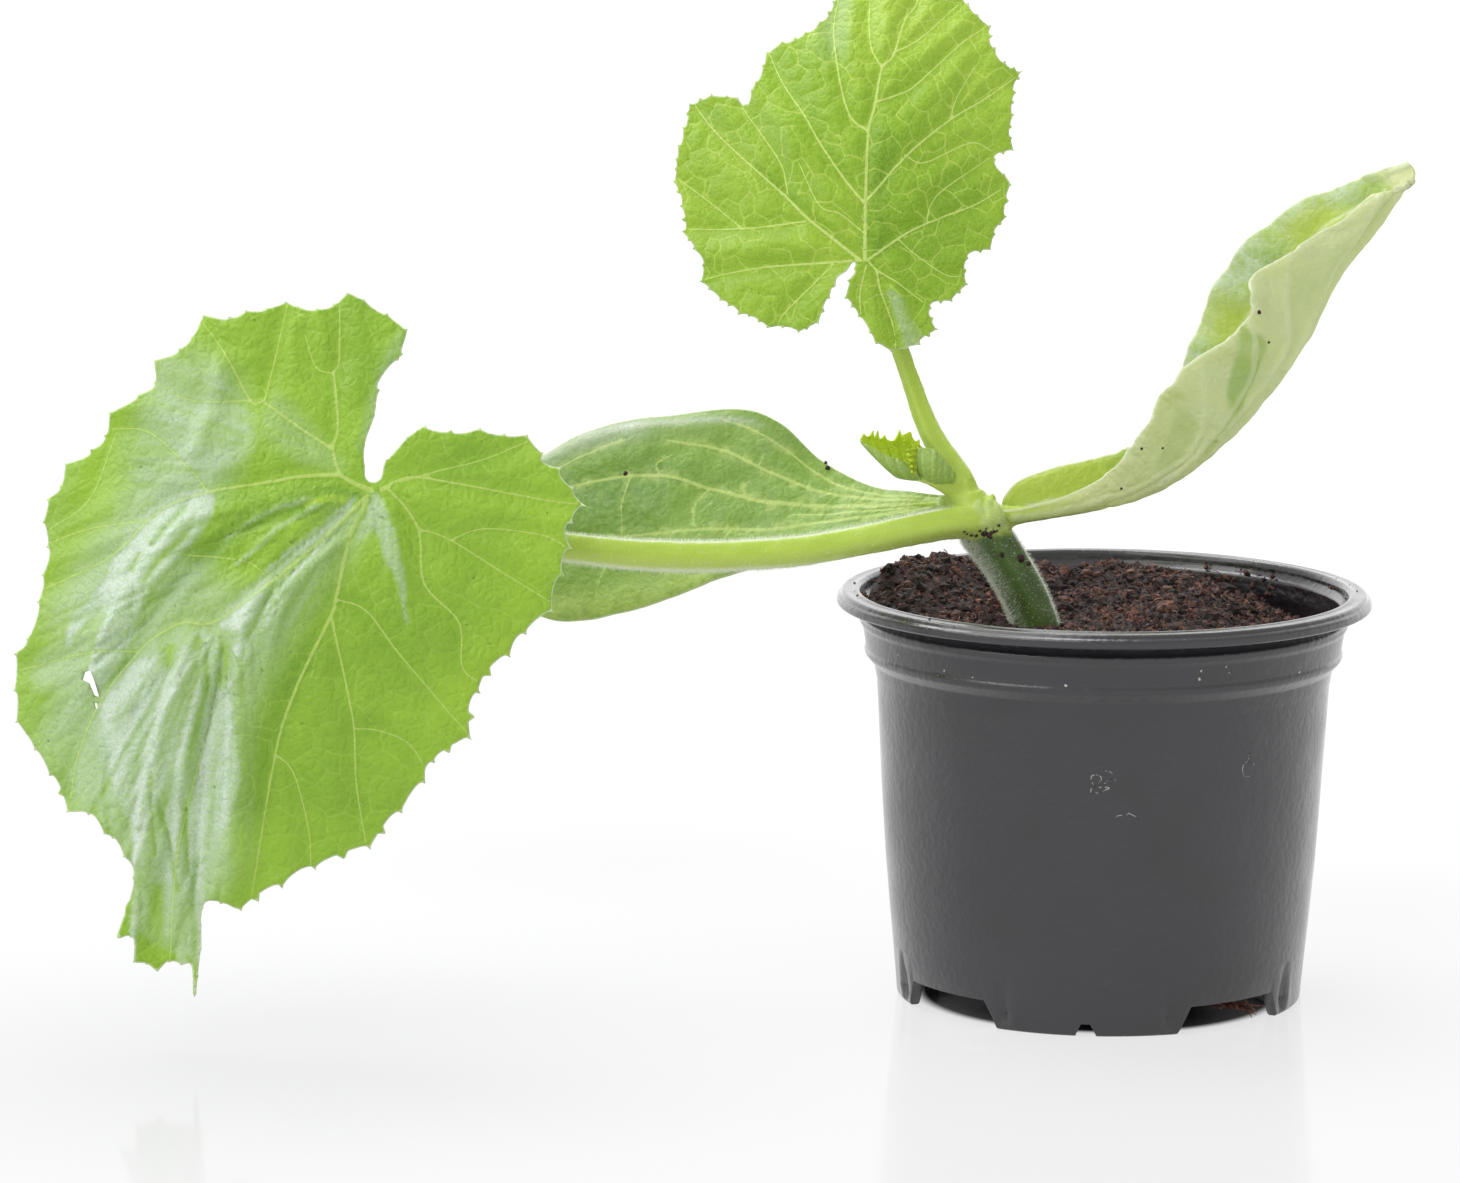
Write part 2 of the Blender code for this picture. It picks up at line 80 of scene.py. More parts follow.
# Creases knocked into the pot's front: right from its middle and up
SCUFFS = [
    [(-5, 55.3), (-4.9, 56.6), (-4.1, 57), (-4.9, 58.2), (-4.9, 59.4), (-3.9, 59.7), (-2.9, 59.3),
        (-2.8, 58.6), (-3.4, 57.8), (-3.1, 56.9), (-2.2, 57), (-1, 56.8), (-2.4, 56.1), (-3.3, 55.5),
        (-4.2, 55.9), (-5, 55.3)],
    [(-2.3, 60.7), (-1, 60.5), (-0.1, 59.8)], [(-2.1, 57.7), (-1, 58.7), (0.2, 58.7), (0.1, 58)],
    [(0.2, 49.6), (0.8, 50.5), (2, 50.7)], [(2.8, 50.6), (3.3, 51.1), (4, 50.8), (5.1, 50.2), (5.5, 49.6)],
    [(30.6, 63.1), (30, 62.1), (29.9, 61.2), (29, 60.5), (28.7, 59.2), (29.2, 57.7), (30.3, 57.6)],
    [(29.9, 61.2), (30.7, 60.7), (31.4, 59.9)],
]

# Painted soft shade on the plate under and behind the plant: right from the pot's middle and
# behind it, half width, half depth, share of light lost
FLOOR_PAINTED_SHADES = [(-182, -70, 150, 130, 0.13), (-112, 150, 120, 90, 0.05), (75, 105, 60, 70, 0.04)]

# Soil
SOIL_LEVEL = 87.2
SOIL_LEFT_HEAP = 7.6
SOIL_BACK_HEAP = 0.4
SOIL_SINK = 6.4
SOIL_RADIUS = 52.7
SOIL_STEP = 0.8

# Big leaves: courses in each blade's own plane, right and up from where its stalk joins
LEAN = math.radians(9.6)
LEAF_THICK = 0.55
MARGIN_STEP = 0.35
LEFT_LEAF = {
    "joint": (-161.9, -45, 121.2), "step": 0.72, "cell": 7, "seed": 4, "puff": 0.9, "puff_width": 3,
    # the tip at the leaf's apex, how wide a hollow may be without small teeth, and from which
    # tip of the outline on the hollows between two tips are as deep as this share of their width
    "apex": 50, "bare": 8.6,
    "hollows": [(0, 0.02), (4, 0.12), (10, 0.14), (43, 0.12), (45, 0.04), (47, 0.12), (52, 0.02),
                (57, 0.15), (60, 0.19), (66, 0.21), (70, 0.28), (77, 0.15), (82, 0.1), (84, 0.03)],
    "outline": [
        (-1, 2), (-1.5, 5), (-1.5, 9.5), (0.5, 16), (1.5, 21.5), (5.5, 28), (6.5, 29.5), (7.5, 35),
        (3, 38.5), (-2, 41.5), (-6, 43), (-9, 40.5), (-12.5, 39.5), (-16.5, 40), (-19.5, 41), (-23.5, 39.5),
        (-28, 39), (-31.5, 37.5), (-37.5, 38), (-40, 33), (-42.5, 30.5), (-48, 28), (-48, 23),
        (-51.5, 20.5), (-58, 16.5), (-59, 11.5), (-62, 8.5), (-68, 5.5), (-69, 0.5), (-72, -2.5),
        (-73, -7.5), (-72, -13), (-73, -19), (-74, -25), (-76.5, -33), (-79.5, -36.5), (-79.5, -44.5),
        (-79, -51.5), (-74.5, -57.5), (-71, -63), (-67, -71), (-62, -71.5), (-58.5, -75.5), (-56.5, -76.5),
        (-54, -80.5), (-52, -85), (-55.5, -97.5), (-52.5, -98), (-52, -103.5), (-49, -104), (-46.5, -105.5),
        (-44, -103.5), (-41.5, -104), (-39.2, -104), (-38.8, -110), (-38, -110), (-37, -100.5),
        (-36.5, -91.5), (-32.5, -90.5), (-28, -92), (-19, -87), (-12, -83), (0, -78.5), (7, -70.5),
        (12, -64), (14, -59.5), (22, -54.5), (23.8, -44.3), (30.3, -36.5), (33.8, -31.6), (39.7, -26.7),
        (42, -18.7), (43.9, -12.8), (44, -7.3), (47.1, -3.6), (44.2, 0.8), (41.4, 5.3), (37.2, 8.2),
        (33.8, 12.1), (28.7, 12.4), (23.4, 13.7), (17.1, 13.1), (11.5, 14), (7.5, 11.5), (3, 6.5), (1.5, 2),
    ],
    # width where the vein starts, width where it ends, course
    "veins": [
        (1.04, 0.73, [(0, -0.5), (-4.5, 1.5), (-7, 3)]),
        (0.68, 0.24, [(-7, 3), (-8.5, 8.5), (-7.5, 14), (-8.5, 25), (-7.5, 28), (-7.5, 41)]),
        (0.31, 0.24, [(-8.5, 25), (-12.5, 26.5), (-15, 33.5)]),
        (0.62, 0.24, [(-8.5, 8.5), (-15.5, 13), (-23.5, 18.5), (-26.5, 19), (-32.5, 29.5), (-38, 37)]),
        (0.31, 0.24, [(-23.5, 19), (-21, 30), (-19, 40)]),
        (0.31, 0.24, [(-26.5, 19), (-39, 19), (-46.5, 22.5)]),
        (0.73, 0.26, [(-7, 3), (-15.5, 2.5), (-24, 1), (-35.5, -1), (-46, -5), (-57, -15), (-72, -22)]),
        (0.36, 0.24, [(-35.5, -1), (-39.5, 4), (-48.5, 12), (-57, 13)]),
        (0.73, 0.24, [(-1, -1.5), (-15.5, -15.5), (-32.5, -28.4), (-39.9, -29.2), (-43.9, -30.6),
            (-49.9, -35.2), (-58.8, -46.2), (-64.4, -58.6), (-66, -68)]),
        (0.83, 0.24, [(-1, -2.5), (-4.5, -10), (-7.5, -24), (-8.5, -27.5), (-16, -43.5), (-20.5, -57.5),
            (-26, -89.5)]),
        (0.31, 0.24, [(-20.5, -57.5), (-16.5, -62), (-13.5, -74), (-13, -83)]),
        (0.47, 0.24, [(-8.5, -27.5), (-4.5, -46), (-3.5, -52.5), (-3, -64.5), (-1, -77.5)]),
        (0.26, 0.24, [(-3.5, -52), (2, -52.5), (8.5, -55.5), (13, -63)]),
        (0.36, 0.24, [(-7.5, -24), (-1, -26.5), (6, -35.5), (17, -48.5), (22, -54)]),
        (0.57, 0.24, [(2, -0.5), (4, -0.5), (10, -8.5), (11.5, -20.5), (19, -29), (20, -39), (26, -43)]),
        (0.31, 0.24, [(10, -8.5), (17, -11), (30, -19), (40, -25)]),
        (0.26, 0.24, [(17, -11), (24.5, -8.5), (37.5, -10), (43, -13)]),
        (0.47, 0.24, [(2, 0), (8, 2.5), (17, 1.5), (36.5, -2), (44, -3)]),
        (0.31, 0.24, [(6, 1.5), (14.5, 4), (24, 6.5), (33.5, 10.5)]),
        (0.31, 0.24, [(-39.5, -14.5), (-27, -16), (-22, -19.5)]),
        (0.26, 0.24, [(-56, 12), (-62, -2.5), (-71, -9)]),
        (0.31, 0.24, [(-48, -7), (-62, -9), (-71, -12)]),
        (0.31, 0.24, [(-50.5, -35.5), (-62, -36), (-78, -40)]),
        (0.26, 0.24, [(-33, -46), (-38, -62), (-42, -80), (-44, -104)]),
    ],
    # creases that run down the blade: height, width at the left, width at the right, course
    "folds": [
        (2.2, 7, 2, [(-4, -7), (-17, -19), (-27, -28.5), (-28.5, -46), (-28.5, -60), (-31, -78),
            (-35, -94)]),
        (-1.6, 1.6, 2.2, [(-30.5, -31), (-33, -40), (-36, -52), (-36.5, -66), (-38, -88), (-39, -100)]),
        (1.3, 1.6, 1.3, [(-34, -34), (-38, -50), (-40.5, -62), (-42, -80), (-43, -98)]),
        (1, 1.3, 1.2, [(-3.5, -9), (-14, -18), (-19.5, -28), (-22, -38)]),
        (-1.1, 1.2, 1.4, [(-5, -7.5), (-15, -16.5), (-22.5, -25), (-25, -33)]),
        (1.6, 3.6, 1.6, [(-38, -30), (-43, -46), (-46.5, -57), (-48.5, -70), (-49.5, -88)]),
        (1.8, 5, 3, [(-30, 0), (-40, -7), (-49, -18), (-58, -32), (-63, -46)]),
        (-1.5, 2.5, 3, [(-12, -4), (-24, -8), (-36, -16), (-46, -27), (-54, -42)]),
        (0.9, 1.6, 1.2, [(-16, -7), (-28, -11), (-40, -22), (-50, -34)]),
        (1.2, 4, 2, [(-53, -52), (-55, -68), (-53, -84)]),
        (1, 2.2, 2.2, [(3, -2), (5, -10), (6, -20)]),
        (-1, 2.5, 2.5, [(-46, -78), (-47, -92), (-48, -104)]),
        (1.2, 3, 2, [(-32, 32), (-35, 18), (-40, 4)]),
    ],
    # fine wrinkles: height, half width of the area, course
    "wrinkles": [
        (0.9, 7, [(-30, -30), (-33, -52), (-37, -80), (-41, -104)]),
        (0.8, 8, [(-46, -40), (-50, -60), (-49, -80)]),
        (0.85, 10, [(-12, -8), (-34, -12), (-50, -24), (-64, -40)]),
        (0.7, 4, [(-4, -6), (-14, -17), (-26, -28)]), (0.4, 9, [(-36, 26), (-40, 8)]),
        (0.5, 4, [(2, -4), (6, -20)]),
    ],
    # where pale hair and painted sheen lie thick: strength, softness of its edge, the area's outline
    "bloom": [
        (0.43, 5, [(-48, 28), (-37, 30), (-28, 19), (-31, 2), (-41, -8), (-37, -17), (-23, -21), (-7, -5),
            (-1, -8), (-12, -24), (-24, -45), (-28, -61), (-28, -81), (-37, -90), (-52, -88), (-55, -74),
            (-64, -70), (-72, -56), (-66, -42), (-60, -36), (-64, -29), (-70, -32), (-70, -26), (-61, -13),
            (-54, -1), (-51, 12)]),
        (0.62, 3, [(-48, 24), (-45, 28), (-43, 23), (-37, 21), (-35, 26), (-31, 24), (-31, 19), (-27, 16),
            (-26, 10), (-30, 5), (-36, 0), (-41, -2), (-48, -10), (-53, -14), (-55, -10), (-50, -3),
            (-46, 2), (-45, 7), (-47, 14), (-48, 20)]),
        (0.78, 0.9, [(-36, 0), (-34, -5), (-40, -14), (-47, -20), (-50, -26), (-52, -33), (-56, -40),
            (-60, -45), (-62, -41), (-60, -34), (-58, -27), (-62, -29), (-67, -35), (-66, -29), (-60, -22),
            (-56, -15), (-51, -8), (-45, -2)]),
        (0.84, 0.5, [(-4, -2), (-17, -13), (-24, -19), (-30, -25), (-33, -29), (-31, -31), (-28, -31),
            (-29, -35), (-28, -37), (-26, -34), (-23, -29), (-21, -24), (-19, -18), (-13, -13), (-7, -8)]),
        (0.6, 0.9, [(0, -1), (2, -2), (5, -9), (7, -18), (8, -29), (6, -21), (3, -15), (1, -9), (-3, -12),
            (-1, -5)]),
        (0.76, 0.6, [(-34, -45), (-30, -44), (-29, -56), (-28, -61), (-31, -68), (-33, -76), (-35, -82),
            (-36, -91), (-37, -103), (-39, -103), (-40, -93), (-39, -83), (-38, -74), (-37, -64),
            (-36, -55), (-35, -49)]),
        (0.68, 0.9, [(-34, -32), (-34, -38), (-35, -46), (-36, -51), (-37, -58), (-38, -66), (-39, -76),
            (-40, -85), (-43, -76), (-45, -67), (-47, -59), (-45, -52), (-43, -44), (-39, -38),
            (-36, -34)]),
        (0.64, 1.6, [(-43, -43), (-45, -49), (-47, -55), (-49, -61), (-50, -66), (-53, -66), (-57, -63),
            (-60, -58), (-60, -51), (-58, -45), (-53, -40), (-51, -36), (-49, -42)]),
        (0.38, 2.5, [(-59, -56), (-51, -66), (-49, -70), (-50, -83), (-53, -82), (-57, -74), (-62, -67),
            (-65, -59)]),
        (0.82, 0.5, [(-49, -66), (-50, -74), (-49, -84), (-51, -94), (-52, -103), (-53, -102), (-52, -90),
            (-52, -80), (-51, -70)]),
        (0.58, 0.7, [(-48, -66), (-45, -74), (-43, -83), (-43, -90), (-40, -96), (-40, -104), (-42, -104),
            (-43, -94), (-47, -87), (-48, -80), (-48, -73)]),
        (0.76, 1.4, [(-53.3, -39.2), (-59.3, -46.6), (-58.3, -55.9), (-56, -66.6), (-52.6, -73.3),
            (-51.3, -82), (-51.9, -95.3), (-38.6, -102), (-36.6, -90), (-33.3, -78.6), (-29.9, -71.9),
            (-28, -62.6), (-28.6, -55.3), (-29.9, -46.6), (-34.6, -43.9), (-33.3, -36.6), (-35.3, -30),
            (-41.3, -34.6), (-46.6, -35.9)]),
        (0.42, 3, [(-60, -30), (-64, -31), (-73, -37), (-74, -43), (-66, -45), (-62, -41)]),
        (0.3, 1.5, [(1, 16), (5, 26), (6, 34), (3, 30), (-1, 18), (-3, 8)]),
        (0.25, 2.5, [(-20, 20), (-12, 12), (-6, 4), (-14, 5), (-24, 12)]),
    ],
    # pale crests of pleats, painted as thick hair and sheen: strength, half width, course
    "crests": [
        (0.95, 0.42, [(-36, -34), (-40, -41), (-43, -45), (-45, -51), (-47, -58), (-49, -63), (-50, -70),
            (-51, -80), (-51, -90), (-52, -102)]),
        (0.95, 0.42, [(-33, -29), (-33, -35), (-34, -42), (-35.5, -50), (-36.5, -58), (-37, -67),
            (-38.4, -77), (-39.6, -87), (-39, -101)]),
        (0.85, 0.4, [(-37.7, -31), (-40, -37), (-42, -42)]),
        (0.9, 0.45, [(-6, -7), (-12, -14), (-17, -20), (-20, -25), (-22, -30)]),
        (0.85, 0.4, [(-37, -9), (-43, -16), (-48, -22), (-50.5, -27)]),
        (0.9, 0.5, [(-55, -26), (-59, -33), (-61.5, -41)]), (0.8, 0.4, [(-25, -34), (-28, -40),
            (-31, -44)]),
        (0.5, 0.35, [(-10, -3), (-20, -9), (-29, -17)]), (0.5, 0.35, [(-12, -2), (-22, -5), (-31, -11)]),
        (0.55, 0.35, [(-58, -57), (-59, -66), (-58, -74)]),
    ],
    # narrow green valleys between the pleats, where hair and painted sheen are taken out: half width, course
    "slots": [
        (0.55, [(-39.5, -3), (-44, -8), (-47.5, -12.5)]), (0.7, [(-39, -9), (-45, -15), (-49, -20)]),
        (0.45, [(-50, -14), (-52, -18)]), (0.8, [(-31, -33), (-31, -38), (-32, -42)]),
        (0.7, [(-36.5, -32.5), (-38, -34.5)]), (1.6, [(-43, -34), (-43.5, -38)]),
        (0.6, [(-20, -19), (-23, -26), (-26, -32)]), (0.5, [(-40.5, -66), (-40, -76), (-39.8, -84)]),
        (0.3, [(-47.5, -60), (-47.6, -70), (-46.8, -80)]), (0.4, [(-46, -68), (-43.6, -78), (-42, -88)]),
        (2.2, [(-46.4, -85), (-46.4, -92), (-45.6, -105)]), (0.5, [(-35, -36), (-35.6, -44)]),
    ],
    # painted light and shade, as lighter and darker areas: change, half width, course
    "tone": [
        (1, 1, [(-14, -3.4), (-9, -2), (-6, -2.6)]), (0.9, 1.2, [(-43, -34.5), (-43.4, -37.5)]),
        (0.9, 0.9, [(-31, -33.5), (-31, -38)]), (0.9, 0.8, [(-36.5, -32.5), (-38, -34.5)]),
        (-0.9, 0.7, [(-39.5, -3), (-44, -8), (-47.5, -12.5)]), (-0.8, 0.9, [(-12, 0), (-4, -1), (0, -3),
            (1, -9)]),
        (-0.7, 4.5, [(-8, -2), (-20, -4), (-30, -9), (-42, -22)]),
        (-0.5, 2.2, [(-8, -13), (-16, -21), (-22, -33)]),
        (-0.6, 1.2, [(-35.5, -50), (-37.5, -64), (-39.5, -86)]),
        (-0.5, 5, [(-14, -36), (-22, -50), (-26, -68)]),
        (0.5, 8, [(-60, 0), (-66, -16), (-72, -40)]),
        (0.6, 7, [(38, -6), (32, -26), (20, -46)]),
        (0.4, 6, [(-45, -90), (-45, -104)]),
    ],
    "holes": [[(-62.8, -40.2), (-61.2, -39.6), (-60.4, -42), (-59.4, -45.6), (-60.6, -45.2),
               (-61.6, -42.6), (-63.4, -41.8)],
              [(-60.6, -47), (-59.9, -46.8), (-59.7, -48.4), (-60.4, -48.2)]],
}
TOP_LEAF = {
    "joint": (-54.7, -18, 168.6), "step": 0.52, "cell": 5.2, "seed": 9, "puff": 1.1, "puff_width": 2.4,
    "apex": 41, "bare": 4.2,
    "hollows": [(0, 0.03), (3, 0.18), (78, 0.06)],
    "outline": [
        (-2.5, -0.5), (-4, -2.5), (-6, -4), (-6.5, -6), (-7.5, -8.5), (-10, -14), (-14.5, -16), (-18, -15),
        (-21.5, -15), (-25.5, -12.5), (-28, -12), (-32, -9), (-34.5, -6.5), (-36.5, -4.5), (-36, -1),
        (-38, 2.5), (-40.5, 6.5), (-41, 12), (-42.5, 17.5), (-42, 22.5), (-41.5, 25.5), (-40.5, 29.5),
        (-39, 35), (-34, 37), (-30.5, 36.5), (-28, 36), (-26.5, 34.5), (-25.5, 37.5), (-24.5, 39.5),
        (-23, 43), (-22, 46), (-18.5, 48.5), (-13.5, 50.5), (-10.5, 53), (-7.5, 57.5), (-7, 62),
        (-3.5, 65.5), (-1, 69), (3, 71.5), (6, 75), (10, 77), (13, 74), (16, 71), (18, 66.5), (21, 62.5),
        (23, 57.5), (25, 55), (28, 52.5), (29, 47.5), (31, 44.5), (35, 42.5), (33.5, 37.5), (33, 32.5),
        (32.5, 27.5), (33, 24.5), (29, 22.5), (31, 19.5), (32.5, 17), (31.5, 10), (29, 6), (28, 2.5),
        (23, 0.5), (23, -5), (19.5, -9), (15, -10.5), (16.5, -15), (12.5, -18.5), (9.5, -19.5), (6, -20),
        (2.5, -18.5), (1, -16), (-1.5, -12.5), (-4.5, -8.5), (-4, -4.5), (-2.5, -2),
    ],
    "veins": [
        (0.78, 0.24, [(0, 0), (0, 12.5), (0.5, 27.5), (2, 34), (3.5, 42), (6, 45), (8.5, 53), (11.5, 58),
            (11, 68.5), (10, 75)]),
        (0.57, 0.24, [(0, 12), (-4.5, 17.5), (-10, 25.5), (-14, 32.5), (-18, 38.5), (-21.5, 46)]),
        (0.68, 0.24, [(-1, 0), (-5.5, 3.5), (-13, 9.5), (-17.5, 14), (-27.5, 23), (-33.5, 29), (-38, 35)]),
        (0.36, 0.24, [(-17, 14.5), (-17.5, 17.5), (-19, 22), (-27, 33.5)]),
        (0.31, 0.24, [(-0.3, 6), (-5.5, 10), (-10, 12), (-14.5, 21)]),
        (0.42, 0.24, [(-13, 8.5), (-26.5, 7), (-41, 7)]),
        (0.62, 0.24, [(-1, 0), (-7.5, -0.5), (-22, -1.5), (-31, -3), (-35, -4)]),
        (0.36, 0.24, [(-6.5, -0.5), (-11, -5), (-17.5, -11.5), (-19, -14)]),
        (0.57, 0.24, [(0.3, 13), (9, 23), (18.5, 31), (26.5, 36), (34.5, 42)]),
        (0.57, 0.24, [(0.5, 0), (7.5, 5), (13, 8), (24, 12.5), (30, 16)]),
        (0.31, 0.24, [(13.5, 8.5), (14.5, 12.5), (17.5, 16), (27.5, 23)]),
        (0.47, 0.24, [(0.5, 28), (-3.5, 31.5), (-6, 40.5), (-7, 52), (-5, 62)]),
        (0.36, 0.24, [(3.5, 42), (1, 47.5), (1, 58), (3, 70)]),
        (0.42, 0.24, [(2, 34.5), (7.5, 36.5), (11, 38.5), (21, 48), (26.5, 52)]),
        (0.36, 0.24, [(6, 45.5), (12, 49), (20.5, 57)]),
        (0.31, 0.24, [(8.5, 23), (13, 21.5), (23, 26), (28, 24.5)]),
        (0.47, 0.24, [(1, -0.5), (2.5, -2), (6.5, -4.5), (13, -9)]),
        (0.42, 0.24, [(2.5, -2), (3.5, -6.5), (6.5, -14.5), (7, -19)]),
        (0.31, 0.24, [(7.5, 4.5), (11, 1.5), (18, -3), (22, -3)]),
        (0.36, 0.24, [(0.3, -1), (-1, -7.5), (-0.5, -15)]),
        (0.26, 0.24, [(18.5, 31), (20, 36), (24, 43)]),
        (0.26, 0.24, [(-27, 7), (-33, 12), (-41, 18)]),
    ],
    "folds": [
        (1.1, 3, 3, [(-3, 6), (-12, 18), (-20, 32)]),
        (0.8, 3, 3, [(5, 8), (14, 17), (26, 26)]),
        (0.9, 2.6, 2.6, [(-8, 3), (-22, 3), (-36, 2)]),
        (0.8, 3, 3, [(4, 24), (12, 34), (22, 42)]),
        (0.8, 2.5, 2.5, [(-4, 36), (-10, 44), (-14, 50)]),
        (1.2, 2, 2, [(5, -4), (8, -10), (9, -17)]),
    ],
    "wrinkles": [(0.25, 60, [(0, 10), (0, 40)]), (0.7, 5, [(4, -8), (9, -18)])],
    "bloom": [
        (0.5, 1, [(5, -7), (8, -8), (11, -14), (13, -18), (9, -19), (8, -14)]),
        (0.3, 3, [(-8, 44), (-5, 48), (-4, 60), (-7, 58), (-11, 50)]),
    ],
    "crests": [],
    "slots": [],
    "tone": [
        (-0.8, 3.5, [(2.5, 4), (3, 16), (4, 26)]), (-0.5, 9, [(14, 4), (20, 14)]),
        (0.5, 12, [(-28, 20), (-26, -4)]), (-0.5, 1.6, [(-4, 3.5), (-13, 11), (-24, 21)]),
        (-0.4, 1.5, [(-3, 17), (-11, 28)]), (0.35, 12, [(10, 60), (20, 44)]),
    ],
    "holes": [],
}

# Round stalks: x, y, z, radius from the plant's middle outwards
STEM = [
    (-9, -13, 46, 1.6), (-10.5, -14.5, 62, 2.9), (-13, -16.8, 77, 4.6), (-15.7, -18, 86.6, 5.1),
    (-18.9, -18.2, 94.5, 5.1), (-23.2, -18.2, 102, 5.2), (-28, -18, 108.6, 5.4), (-30.6, -17.3, 113.4, 4.8),
    (-31.6, -16.8, 116.6, 3.9),
]
TOP_STALK = [
    (-31.8, -17.2, 112.6, 3.3), (-32, -16.6, 116.6, 3.1), (-33, -16, 119.6, 3), (-35.4, -15, 123.2, 2.8),
    (-39.9, -12.6, 130.2, 2.5), (-44.1, -9.6, 141, 2.1), (-48.8, -9.2, 154.2, 2),
    (-52.1, -12.4, 162.4, 1.9), (-54.4, -16.6, 167.6, 1.6),
]
LEFT_STALK = [
    (-27.6, -19.6, 110.6, 3.6), (-32.2, -22, 110.9, 3.6), (-38.5, -23.6, 110.4, 3.4),
    (-56.8, -25.4, 106.9, 3.2), (-73.2, -27.6, 104.7, 3.3), (-97.4, -30.4, 104.3, 3.3),
    (-119.8, -33.2, 106.6, 3.1), (-140, -37.4, 111, 2.7), (-155.4, -41.8, 116.8, 2.3),
    (-162.6, -44.4, 119.7, 1.9),
]
YOUNG_STALK = [
    (-32.4, -17.4, 114.6, 2.2), (-35, -18.6, 117.4, 1.8), (-37.4, -20, 118.9, 1.5),
    (-41, -21.2, 120.2, 0.9), (-45.4, -21.6, 120.9, 0.6),
]
LEFT_SEED_BASE = [
    (-29, -16, 112, 3.2), (-33, -14.6, 113.2, 2.2), (-38, -13.4, 113.2, 1.2), (-44, -12.2, 113.2, 0.6),
]
RIGHT_SEED_BASE = [
    (-28, -18.6, 111.4, 3.8), (-24, -19, 111.6, 2.8), (-18, -18.6, 112.4, 1.8), (-10, -18, 113.4, 1.2),
    (-2, -17.2, 114.8, 0.8),
]
CROWN_SCALES = [
    [(-27.6, -20.6, 108.4, 1.2), (-26.8, -22.2, 111.2, 1.5), (-26.8, -22, 114, 0.8),
        (-27.2, -21.6, 116.6, 0.2)],
    [(-25.6, -20.8, 109.4, 1.1), (-24.8, -21.8, 112, 1.2), (-25.2, -21.4, 116, 0.2)],
    [(-29.4, -21, 111.6, 1.3), (-29.2, -21.8, 114, 0.9), (-28.9, -21.4, 116.2, 0.2)],
    [(-36.4, -15.6, 113.4, 1.4), (-37, -16.6, 115.2, 0.9), (-37.4, -16.8, 116.6, 0.2)],
]
SIDE_BUD = [
    (-27.6, -18, 114, 1.5), (-26.2, -19.8, 115.6, 1.2), (-26, -20.4, 117.4, 0.3),
]
ROOT_TUFT = [
    (21.6, -24.9, 9.6, 0.9), (23.6, -27.8, 6, 1.5), (27.4, -30.6, 4.4, 1.4), (31.6, -32.2, 3, 0.8),
]
# Flecks of soil on the plant: across from the pot's middle and up from the camera's aim, as
# seen from the front, and their size
STEM_FLECKS = [
    (-19.5, 8, 0.95), (-23.9, 8.2, 0.6), (-17.6, 6.6, 0.5), (-27.6, 12.8, 0.75), (-26.9, 13.1, 0.6),
    (-26.2, 13.4, 0.5), (-28.4, 12.7, 0.45), (-24.4, 14.5, 0.35), (-32.4, 12.9, 0.3), (-26.7, 12.5, 0.4),
    (-29.6, 12.3, 0.5), (-30.7, 12.2, 0.4), (-25.5, 13.8, 0.45), (-28.9, 13.2, 0.35), (-24.7, 14.1, 0.3),
    (-31.7, 12.5, 0.3), (-27.2, 13.9, 0.3),
]
LEFT_SEED_FLECKS = [(-108, 26.6, 0.55), (-62.4, 28.2, 0.6), (-62.8, 29.4, 0.4)]
RIGHT_SEED_FLECKS = [(32, 61.9, 0.5), (34.9, 55.2, 0.3), (6.8, 32.2, 0.3), (2.5, 22.8, 0.3),
    (11.7, 31.8, 0.25)]
# The folded young leaf: the outer flap, the bright inner flap, its curled margin and a
# second, ribbed fold behind it, each as lower, middle and upper rails, with its teeth
YOUNG_FOLDS = [
    (0.35, [(-55.2, -21, 128.4), (-51.9, -21.5, 124.9), (-47.8, -21.6, 121.2), (-45.2, -21.5, 120.4),
        (-41.5, -21, 120)], [(-55.2, -21.2, 128.6), (-52.8, -23.4, 126.4), (-49.2, -24.2, 123.6),
        (-46.2, -24, 122.4), (-42.4, -22.6, 121.2)], [(-55.3, -21.2, 128.8), (-53.4, -23, 127.8),
        (-50, -23.6, 126), (-46.4, -23.4, 124.6), (-43.2, -22.4, 122.2)]),
    (1.5, [(-55.2, -20.6, 128.5), (-51.9, -20.6, 125.1), (-47.8, -20.6, 121.6), (-45.2, -20.6, 120.8),
        (-41.7, -20.4, 120.4)], [(-55.3, -20.4, 128.8), (-52.6, -18.8, 127.8), (-49.2, -17.8, 125.8),
        (-46, -17.4, 125.4), (-42.6, -18, 123.8)], [(-55.4, -20.2, 129.2), (-52.5, -18.4, 129.4),
        (-48.8, -17.4, 128.2), (-45.6, -17.2, 129.6), (-41.6, -17.8, 127)]),
    (1.2, [(-42.6, -19, 127.6), (-42, -18.6, 126.6), (-42, -18.8, 124.6), (-42, -19.6, 122.8),
        (-43, -20.6, 121)], [(-44, -20.6, 127.4), (-43.6, -21, 126), (-43.2, -21.4, 124.2),
        (-43, -21.8, 122.4), (-43.4, -22, 121)], [(-45.2, -22.2, 127), (-45, -22.8, 125.6),
        (-44.5, -23.4, 124), (-44.2, -23.6, 122.4), (-43.9, -23, 121)]),
    (0.3, [(-43.4, -20, 120.8), (-40.2, -21, 119.4), (-37.6, -20.6, 118.9), (-35, -19.2, 119.2)],
        [(-43.2, -21.4, 123.6), (-39.9, -23.2, 123.2), (-37.4, -22.4, 121.6), (-34.6, -19.8, 120.2)],
        [(-42.6, -20, 127), (-39.2, -20.8, 126.9), (-36.7, -20.4, 124.4), (-34.4, -19.2, 121.2)]),
]

